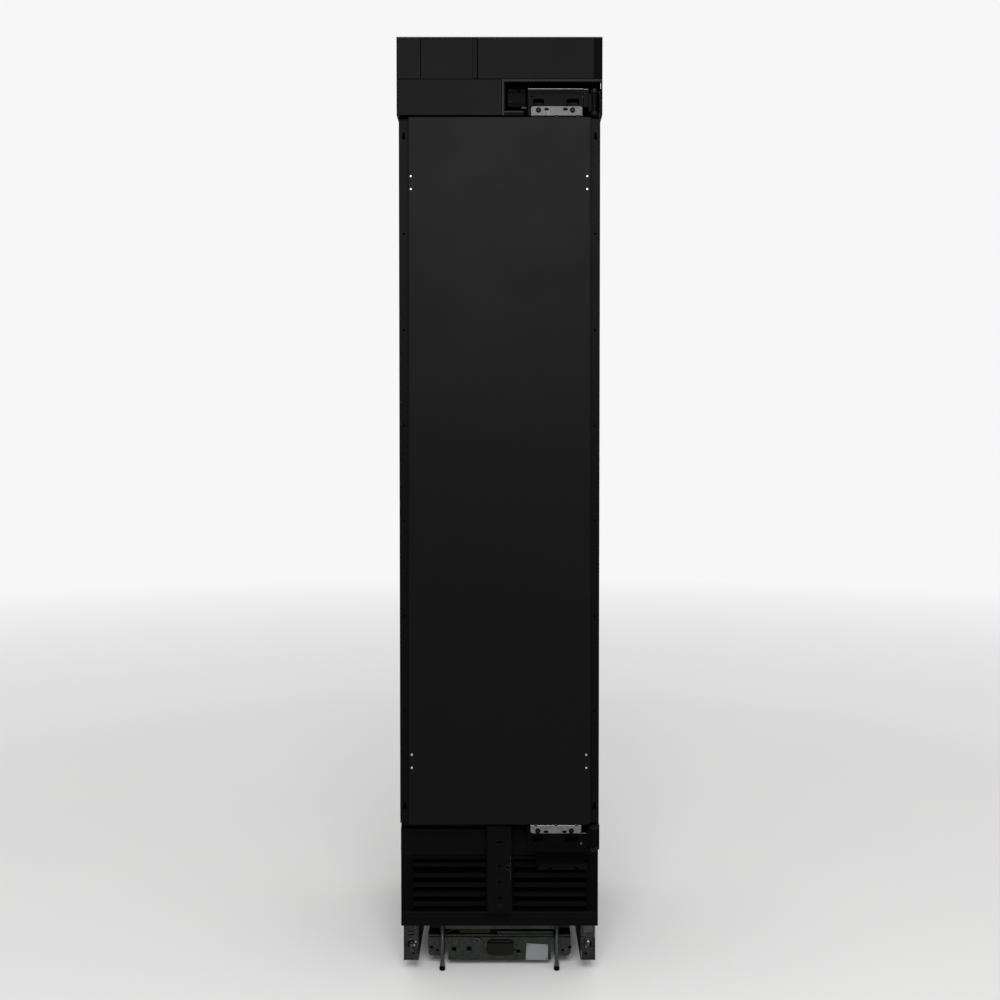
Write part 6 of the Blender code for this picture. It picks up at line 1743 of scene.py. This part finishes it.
# Fan wheel: blade angle grows with the radius, height falls across the chord, with a camber of 4 s (1 - s)
def fanWheel(node, centre):
    low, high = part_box(node)
    y0, y1, hub, blades = low.y, high.y, fan["hub"], fan["blades"]
    radius = max(high.z - centre[1], centre[1] - low.z, high.x - centre[0])
    r = np.linspace(hub * 0.8, radius - 0.0006, 10)[:, None]
    s = np.linspace(0, 1, 9)[None, :]
    share = (r - r[0]) / (r[-1] - r[0])
    shapes = []
    for i in range(blades):
        angle = 2 * math.pi * i / blades + 0.55 * share**1.5 + (s - 0.5) * (0.95 - 0.20 * share)
        depth = (y1 - y0) * (0.44 - 0.13 * share)
        y = (y0 + y1) / 2 + (0.5 - s) * 2 * depth * 0.9 - 4 * s * (1 - s) * (y1 - y0) * 0.08
        x, z = centre[0] + r * np.cos(angle), centre[1] + r * np.sin(angle)
        shapes.append(sheetGrid(np.stack([x, y, z], -1)))
    piece(node + "_blades", shapes, blackPlastic, node, node, wall=(fan["sheet"], 0.0))
    profile = [
        (0.0030, y0 + 0.0004), (hub * 0.70, y0 + 0.0004), (hub * 0.93, y0 + 0.0016), (hub, y0 + 0.0045),
        (hub, y1 - 0.0006), (hub * 0.9, y1),
    ]
    piece(node + "_hub", [lathe("Y", centre, profile, 40)], blackPlastic, body=node)


fanWheel("evaporator_fan", cavity["fanCentre"])

coils = {
    "evaporator": {
        "pitch": 0.0075, "levels": 8, "tube": 0.0040, "depths": (0.30, 0.70), "finish": aluminium,
    },
    "condenser": {
        "pitch": 0.0045, "levels": 6, "tube": 0.0032, "depths": (0.25, 0.75), "finish": shadeBlackFins,
    },
}


# finned coil: plates across, tubes through them in two columns, half-turn bends at both ends
def finnedCoil(name, coil):
    low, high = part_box(name + "_coil")
    margin = 0.012
    count = int((high.x - low.x - 2 * margin) / coil["pitch"])
    outline = ringOutline((low.y + 0.0008, low.z + 0.0008), (high.y - 0.0008, high.z - 0.0008), 0.0008, 2)
    places = np.linspace(low.x + margin, high.x - margin, count)
    fins = [slab("X", outline, x - 0.0002, x + 0.0002, 0.00005, 2) for x in places]
    piece(name + "_fins", fins, coil["finish"], name + "_coil")
    zs = np.linspace(low.z, high.z, coil["levels"] + 2)[1:-1]
    step = zs[1] - zs[0]
    reach = min(step / 2, margin - coil["tube"] - 0.0005)
    left, right = low.x + margin - 0.002, high.x - margin + 0.002
    turn = np.linspace(-math.pi / 2, math.pi / 2, 9)
    pipes = []
    for share in coil["depths"]:
        y = low.y + (high.y - low.y) * share
        path = [np.array([[left, y, zs[0]]])]
        for i, z in enumerate(zs[:-1]):
            side, at = (1, right) if i % 2 == 0 else (-1, left)
            middle = (z + zs[i + 1]) / 2
            bend = at + side * reach * np.cos(turn), np.full(9, y), middle + step / 2 * np.sin(turn)
            path.append(np.stack(bend, -1))
        path.append(np.array([[left if len(zs) % 2 == 0 else right, y, zs[-1]]]))
        pipes.append(tube(np.concatenate(path), coil["tube"], 10, up=(0.0, 1.0, 0.0)))
    piece(name + "_pipes", pipes, coil["finish"])


for name, coil in coils.items():
    finnedCoil(name, coil)
print("cavity done")


# Shelves, drawer, ice bin and door bins

stores = {
    "glass": 0.0052,
    "trimDrop": 0.0065,
    "trimDepth": 0.0090,
    "trimHalf": 0.1640,
    "rimZ": (0.7003, 0.7033),  # of the drawer's rims, over the liner's lowest ribs
    "drawer": {"corner": 0.016, "foot": 0.010, "capX": (-0.148, 0.148), "drop": 0.022},
    "iceBin": {"corner": 0.014, "foot": 0.008, "capX": (-0.146, 0.146), "drop": 0.020},
}


def shelf(word):
    node = "shelf_" + word
    low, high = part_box(node)
    xs, ys, zs = spans(node)
    tall = (low.z, low.z + stores["glass"])
    plate = roundBox(drawn(xs, 0.0010), drawn(ys, 0.0040), tall, 0.0014, corner=0.006)
    piece(node + "_glass", [plate], shelfGlass, node)
    foot, near, far = low.z - stores["trimDrop"], low.z - 0.0006, low.y + stores["trimDepth"]
    line = [
        (low.y, low.z + 0.0056), (low.y, foot), (low.y + 0.0030, foot), (low.y + 0.0034, near), (far, near),
        (far, low.z + 0.0056),
    ]
    trim = slab("X", line, -stores["trimHalf"], stores["trimHalf"], 0.0006)
    rear = roundBox(xs, (high.y - 0.0058, high.y), zs, 0.0012, axis="X", corner=0.0016)
    piece(node + "_trim", [trim], satinTrim)
    piece(node + "_rail", [rear], whiteLiner)


# trim cap along the front of a rim: a rounded hook section carried across
def rimCap(xs, y, top, drop):
    depth, under = 0.0090, top - 0.0045
    line = [
        (y, top), (y, top - drop), (y + 0.0014, top - drop), (y + 0.0018, under), (y + depth, under),
        (y + depth, top),
    ]
    return slab("X", line, *xs, 0.0005)


# a sliding tub with a trim cap; its width and rims are the drawer's own
def slidingTub(node, tubKind, xs, rims=()):
    _, ys, zs = spans(node)
    body = tray(xs, ys, zs, tubKind["corner"], tubKind["foot"])
    piece(node + "_shell", [body, *rims], clearPlastic, node, node)
    piece(node + "_cap", [rimCap(tubKind["capX"], ys[0], zs[1], tubKind["drop"])], satinTrim, body=node)


def drawerAndBins():
    xs, ys, zs = spans("freezer_drawer")
    half = wallX - cavity["ribDepth"] - hair
    rims = [
        roundBox((side * (half - 0.0042), side * xs[1]), drawn(ys, 0.004), stores["rimZ"], 0.0010)
        for side in (-1, 1)
    ]
    slidingTub("freezer_drawer", stores["drawer"], (-half, half), rims)
    slidingTub("ice_bin", stores["iceBin"], spans("ice_bin")[0])
    for word in ("lower", "middle", "upper"):
        node = "door_bin_" + word
        xs, ys, zs = spans(node)
        piece(node + "_shell", [tray(xs, ys, zs, 0.012, 0.007)], clearPlastic, node, "door")
        cap = mirrored(rimCap(drawn(xs, 0.014), ys[0], zs[1], 0.016), "Y", sum(ys) / 2)
        piece(node + "_cap", [cap], satinTrim, body="door")


for word in ("upper", "middle"):
    shelf(word)
drawerAndBins()


# Ice maker

ice = {
    "headWidth": 0.036,
    "wall": 0.003,
    "trough": 0.034,
    "divider": 0.0338,
    "fingers": 7,
    "wire": 0.0018,
    "wireStep": 0.012,
}
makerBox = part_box("ice_maker")
headX = makerBox[0].x + ice["headWidth"]
mouldRoom = makerBox[1].x - ice["wall"] - headX
mouldCentre = middleOf("ice_maker", "Y")[0], makerBox[0].z + ice["trough"] + ice["wall"]


def iceMaker():
    softened("ice_maker", greyPlastic, 0.0010)
    low, high = makerBox
    depth, tall = (low.y - 0.0014, low.y + 0.004), (low.z + 0.006, high.z - 0.008)
    cover = roundBox((low.x + 0.002, headX - 0.002), depth, tall, 0.0013, axis="Y", corner=0.006)
    depth, tall = (low.y - 0.0034, low.y), (low.z + 0.040, low.z + 0.052)
    lever = roundBox((low.x + 0.012, low.x + 0.024), depth, tall, 0.0012, axis="Y", corner=0.003)
    piece("ice_maker_head_cover", [cover, lever], whiteLiner)
    # dividers of the mould: half discs under the shaft
    arc = mouldCentre + ice["divider"] * circle(np.radians(np.linspace(192, 348, 17)))
    places = [headX + mouldRoom * i / ice["fingers"] for i in range(1, ice["fingers"])]
    piece("ice_mould_dividers", [slab("X", arc, x - 0.0008, x + 0.0008, 0.0003) for x in places], aluminium)


def iceEjector():
    node = "ice_ejector"
    low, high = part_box(node)
    profile = [(0.0036, low.x), (0.0047, low.x + 0.0008), (0.0047, high.x - 0.0008), (0.0036, high.x)]
    shapes = [lathe("X", mouldCentre, profile, 28)]
    y, z = mouldCentre
    bow = np.linspace(0, 1, 8)
    tall = z + (high.z - z) * bow
    lead = np.stack([y - 0.0030 + 0.0022 * bow**2, tall], -1)
    trail = np.stack([y + 0.0030 - 0.0004 * bow, tall], -1)
    outline = np.concatenate([lead, trail[::-1]])
    for i in range(ice["fingers"]):
        x = headX + mouldRoom * (i + 0.5) / ice["fingers"]
        shapes.append(slab("X", outline, x - 0.0024, x + 0.0024, 0.0007))
    piece("ice_ejector_rake", shapes, whiteLiner, node, node)


# feeler: one wire bent round a rectangle, its corners rounded, with points added along its straights
def iceArm():
    node, r = "ice_maker_arm", ice["wire"]
    low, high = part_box(node)
    ring = ringOutline((low.x + r, low.z + r), (high.x - r, high.z - r), 0.009, 7)
    even = []
    for start, end in zip(ring, np.roll(ring, -1, 0)):
        count = max(1, int(np.linalg.norm(end - start) / ice["wireStep"]))
        even.append(start + (end - start) * np.linspace(0, 1, count, endpoint=False)[:, None])
    path = onAxis("Y", np.concatenate(even), middleOf(node, "Y")[0])
    piece("ice_feeler_wire", [tube(path, r, 12, up=(0.0, 1.0, 0.0), loop=True)], steel, node, node)


iceMaker()
iceEjector()
iceArm()
print("inside done")


# Door inside: liner with its raised border, and the bellows gasket

inner = {
    "dyke": (-0.160, 0.165, 0.455, 1.870),
    "dykeWidth": 0.015,
    "corner": 0.020,
    "foot": 0.005,
    "crown": 0.006,
    "sheet": 0.002,
}


# rows over the sheet, up the outside of the border, over its crown, down the inside and across the basin
def doorLiner():
    low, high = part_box("door_liner")
    face = low.y + inner["sheet"]
    x0, x1, z0, z1 = inner["dyke"]
    foot, crown, corner, inside = (inner[key] for key in ("foot", "crown", "corner", "dykeWidth"))
    turn = list(zip(*quarterTurn(5)))

    def border(d, y):
        return (x0 + d, z0 + d), (x1 - d, z1 - d), corner - d, y

    def whole(d, y):
        return (low.x + d, low.z + d), (high.x - d, high.z - d), 0.004, y

    rows = [whole(0.0, low.y), whole(0.0, face - 0.0006), whole(0.0006, face)]
    rows += [border(-foot * fall, face + foot * rise) for fall, rise in turn]
    rows += [border(crown * rise, high.y - crown * fall) for fall, rise in turn]
    rows += [border(inside - crown * fall, high.y - crown * rise) for fall, rise in turn]
    rows += [border(inside + foot * rise * 0.999, face + foot * fall) for fall, rise in turn]
    lows, highs, bends, places = zip(*rows)
    rings = frames(lows, highs, [max(bend, 0.0012) for bend in bends])
    shell = loft(onAxis("Y", rings, np.array(places)[:, None]))
    piece("door_liner_shell", [shell], whiteLiner, "door_liner", "door", smooth=40)


# bellows: one folded section carried round the rounded rectangle
def gasket():
    low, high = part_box("door_gasket")
    y0, y1 = low.y, high.y
    section = np.array([
        (0.0008, y0), (0.0132, y0), (0.0132, y0 + 0.0016), (0.0116, y0 + 0.0030), (0.0134, y0 + 0.0050),
        (0.0138, y1 - 0.0022), (0.0128, y1), (0.0014, y1), (0.0002, y1 - 0.0016), (0.0004, y1 - 0.0044),
        (0.0022, y0 + 0.0046), (0.0008, y0 + 0.0026),
    ])
    rings = roundedRings((low.x, low.z), (high.x, high.z), section[:, 0], 0.016, 6)
    shell = loft(onAxis("Y", rings, section[:, 1][:, None]), loop=True)
    piece("door_gasket_bellows", [shell], rubber, "door_gasket", "door")


doorLiner()
gasket()
print("door inside done")


# Machine compartment

machine = {
    "canCentre": (0.105, 0.170),
    "canRadius": 0.072,
    "canBase": 0.1336,
    "canTop": 0.2984,
    "weldZ": 0.2120,
    "grommet": (
        (0.0080, 0.0), (0.0092, 0.0012), (0.0074, 0.0040), (0.0088, 0.0068), (0.0088, 0.0100), (0.0070, 0.0112)
    ),
    "boxZ": (0.176, 0.236),
    "suction": ((0.060, 0.205, 0.250), (0.036, 0.226, 0.262), (0.022, 0.232, 0.300), (0.020, 0.232, 0.350)),
    "discharge": (
        (0.070, 0.118, 0.245), (0.044, 0.086, 0.252), (0.040, 0.030, 0.256), (0.038, -0.060, 0.262),
        (0.034, -0.118, 0.268), (0.030, -0.168, 0.272),
    ),
    "process": ((0.150, 0.215, 0.240), (0.170, 0.236, 0.246), (0.178, 0.244, 0.268)),
}


# compressor: two shells met at a weld flange, turned from ellipse quarters
def compressor():
    low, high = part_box("compressor")
    xs, ys, _ = spans("compressor")
    x, y = machine["canCentre"]
    radius, weld, top = machine["canRadius"], machine["weldZ"], machine["canTop"] - 0.046
    t = np.linspace(0, math.pi / 2, 9)
    lower = [(radius * (0.62 + 0.36 * math.sin(a)), machine["canBase"] + 0.034 * (1 - math.cos(a))) for a in t]
    upper = [(radius * (0.10 + 0.88 * math.cos(a)), top + 0.046 * math.sin(a)) for a in t]
    flange = [
        (radius * 0.98, weld - 0.0030), (radius, weld - 0.0022), (radius, weld + 0.0022),
        (radius * 0.98, weld + 0.0030),
    ]
    piece("compressor_can", [lathe("Z", (x, y), lower + flange + upper, 56)], enamel, "compressor")
    foot, tread = low.z + 0.0046, low.z + 0.0075
    plate = slab("Z", ringOutline((low.x, low.y), (high.x, high.y), 0.014), foot, tread, 0.0006)
    across, tall = drawn(xs, 0.020), (tread - 0.001, tread + 0.004)
    ribs = [roundBox(across, (b - 0.003, b + 0.003), tall, 0.0012, axis="X") for b in drawn(ys, 0.010)]
    piece("compressor_foot_plate", [plate, *ribs], enamel)
    corners = [(a, b) for a in drawn(xs, 0.014) for b in drawn(ys, 0.014)]
    grommets = [lathe("Z", corner, machine["grommet"], 28, start=low.z) for corner in corners]
    piece("compressor_grommets", grommets, rubber)
    bolts = [hexHead("Z", corner, low.z + 0.0110, 1, 0.0100, 0.0056, 0.0074) for corner in corners]
    piece("compressor_bolts", bolts, steel)
    side = y - radius
    box = roundBox((x - 0.028, x + 0.028), (side - 0.022, side + 0.010), machine["boxZ"], 0.003, corner=0.005)
    depth, tall = (side - 0.0236, side - 0.020), drawn(machine["boxZ"], 0.004)
    lid = roundBox((x - 0.024, x + 0.024), depth, tall, 0.0010, axis="Y", corner=0.004)
    piece("compressor_terminal_box", [box, lid], blackPlastic)
    pipes = [
        tube(smoothPath(machine["suction"]), 0.0048, 12, up=(0.3, 0.2, 0.1)),
        tube(smoothPath(machine["discharge"]), 0.0034, 12),
        tube(smoothPath(machine["process"]), 0.0032, 12, up=(0.3, 0.2, 0.1)),
    ]
    piece("compressor_pipes", pipes, copper)


def controlBox():
    low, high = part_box("control_box")
    xs, ys, _ = spans("control_box")
    split = high.z - 0.016
    body = roundBox(xs, ys, (low.z, split), 0.003, corner=0.006)
    lid = roundBox(drawn(xs, 0.0006), drawn(ys, 0.0006), (split + 0.0006, high.z), 0.003, corner=0.006)
    depth, tall = (low.y + 0.040, low.y + 0.120), (high.z - 0.004, high.z + 0.004)
    slots = [
        roundBox((low.x + 0.030 + i * 0.010, low.x + 0.034 + i * 0.010), depth, tall, 0.0012, corner=0.0018)
        for i in range(10)
    ]
    piece("control_box_case", [body, lid], greyPlastic, "control_box", cuts=slots)
    corners = [(x, y) for x in drawn(xs, 0.012) for y in drawn(ys, 0.012)]
    screws = [screwHead("Z", corner, high.z - 0.0006, 1, 0.0036, 0.0016) for corner in corners]
    piece("control_box_screws", screws, steel)
    across, tall = (high.x - 0.001, high.x + 0.010), (low.z + 0.014, low.z + 0.028)
    plugs = [
        roundBox(across, (low.y + 0.040 + i * 0.036, low.y + 0.062 + i * 0.036), tall, 0.0012) for i in range(4)
    ]
    piece("control_box_sockets", plugs, whiteLiner)


compressor()
softened("condenser_shroud", blackPlastic, 0.0008)
fanWheel("condenser_fan", middleOf("condenser_shroud", "XZ"))
piece("drain_pan_tray", [tray(*spans("drain_pan"), 0.010, 0.006)], blackPlastic, "drain_pan")
controlBox()
print("machine compartment done")


# Studio: floor, camera and light

studio = {
    "camera": (0.0011, front - 2.200, 1.1525),
    "tilt": 1.27,
    "focal": 0.996,            # of the picture's width
    "sensor": 36.0,
    "sky": 0.93,
    "worldLevel": 0.60,
    "glossLevel": 0.74,
    "floorHalf": 30.0,
    "floorFade": (2.6, 9.0),   # distances over which the floor goes over into the background
    "lamps": {
        "key": ((0.0, -2.9, 2.72), (0.0, -0.3, 1.5), (1.6, 1.5), 78),
        "fill": ((2.4, -2.6, 1.8), (0.0, -0.2, 1.0), (1.6, 2.2), 10),
    },
}


def studioFloor():
    reach = studio["floorHalf"] * np.array([-1.0, 1.0])
    x, y = np.meshgrid(reach, reach)
    floor = added("studio_floor", meshOf("studio_floor", [sheetGrid(np.stack([x, y, x * 0.0], -1))]))
    made = Finish("pale studio floor", metallic=0.0, gloss=0.2)
    made.put("colour", made.mix(made.noise(1.5, 2.0), (0.84, 0.84, 0.84), (0.87, 0.87, 0.86)))
    made.put("roughness", 0.70 + made.noise(3.0, 2.0) * 0.10)
    # seen, mirrored or through glass: plain floor under the freezer, more and more background further out
    far = made.node("ShaderNodeVectorMath", {"operation": "LENGTH"}, {0: made.place}, out=1)
    near, gone = studio["floorFade"]
    seen = made.node("ShaderNodeLightPath", out="Is Camera Ray")
    for kind in ("Is Glossy Ray", "Is Transmission Ray"):
        seen = seen.maths("MAXIMUM", seen, made.node("ShaderNodeLightPath", out=kind))
    fade = far.above(0.4, near) * 0.35 + far.above(near, gone - near) * 0.65
    tree = made.tree
    sky = tree.nodes.new("ShaderNodeEmission")
    sky.inputs["Strength"].default_value = studio["sky"]
    blend = tree.nodes.new("ShaderNodeMixShader")
    feed(tree, blend.inputs[0], fade * seen)
    tree.links.new(made.shader.outputs[0], blend.inputs[1])
    tree.links.new(sky.outputs[0], blend.inputs[2])
    tree.links.new(blend.outputs[0], tree.nodes["Material Output"].inputs[0])
    floor.data.materials.append(made.material)


def studioLight():
    world = bpy.data.worlds.new("studio")
    bpy.context.scene.world = world
    world.use_nodes = True
    tree = world.node_tree
    paths = tree.nodes.new("ShaderNodeLightPath").outputs
    kinds = ("Is Camera Ray", "Is Glossy Ray", "Is Transmission Ray")
    camera, glossy, through = (Wire(tree, paths[kind]) for kind in kinds)
    seen = camera.maths("MAXIMUM", camera, through)
    hidden = glossy * studio["glossLevel"] + (1 - glossy) * studio["worldLevel"]
    level = seen * studio["sky"] + (1 - seen) * hidden
    background = tree.nodes["Background"]
    background.inputs["Color"].default_value = (1.0, 1.0, 1.0, 1.0)
    tree.links.new(level.socket, background.inputs["Strength"])
    for name, (place, aim, size, power) in studio["lamps"].items():
        data = bpy.data.lights.new(name, "AREA")
        data.shape = "RECTANGLE"
        data.size, data.size_y = size
        data.energy = power
        made = added(name, data)
        made.location = place
        made.rotation_euler = (Vector(aim) - Vector(place)).to_track_quat("-Z", "Y").to_euler()


def photoCamera():
    data = bpy.data.cameras.new("photo_view")
    data.sensor_width = studio["sensor"]
    data.lens = studio["sensor"] * studio["focal"]
    data.clip_start, data.clip_end = 0.05, 100.0
    camera = added("photo_view", data)
    camera.location = studio["camera"]
    camera.rotation_euler = (math.radians(90 - studio["tilt"]), 0.0, 0.0)
    bpy.context.scene.camera = camera


studioFloor()
studioLight()
photoCamera()
bpy.context.scene.view_settings.view_transform = "Standard"
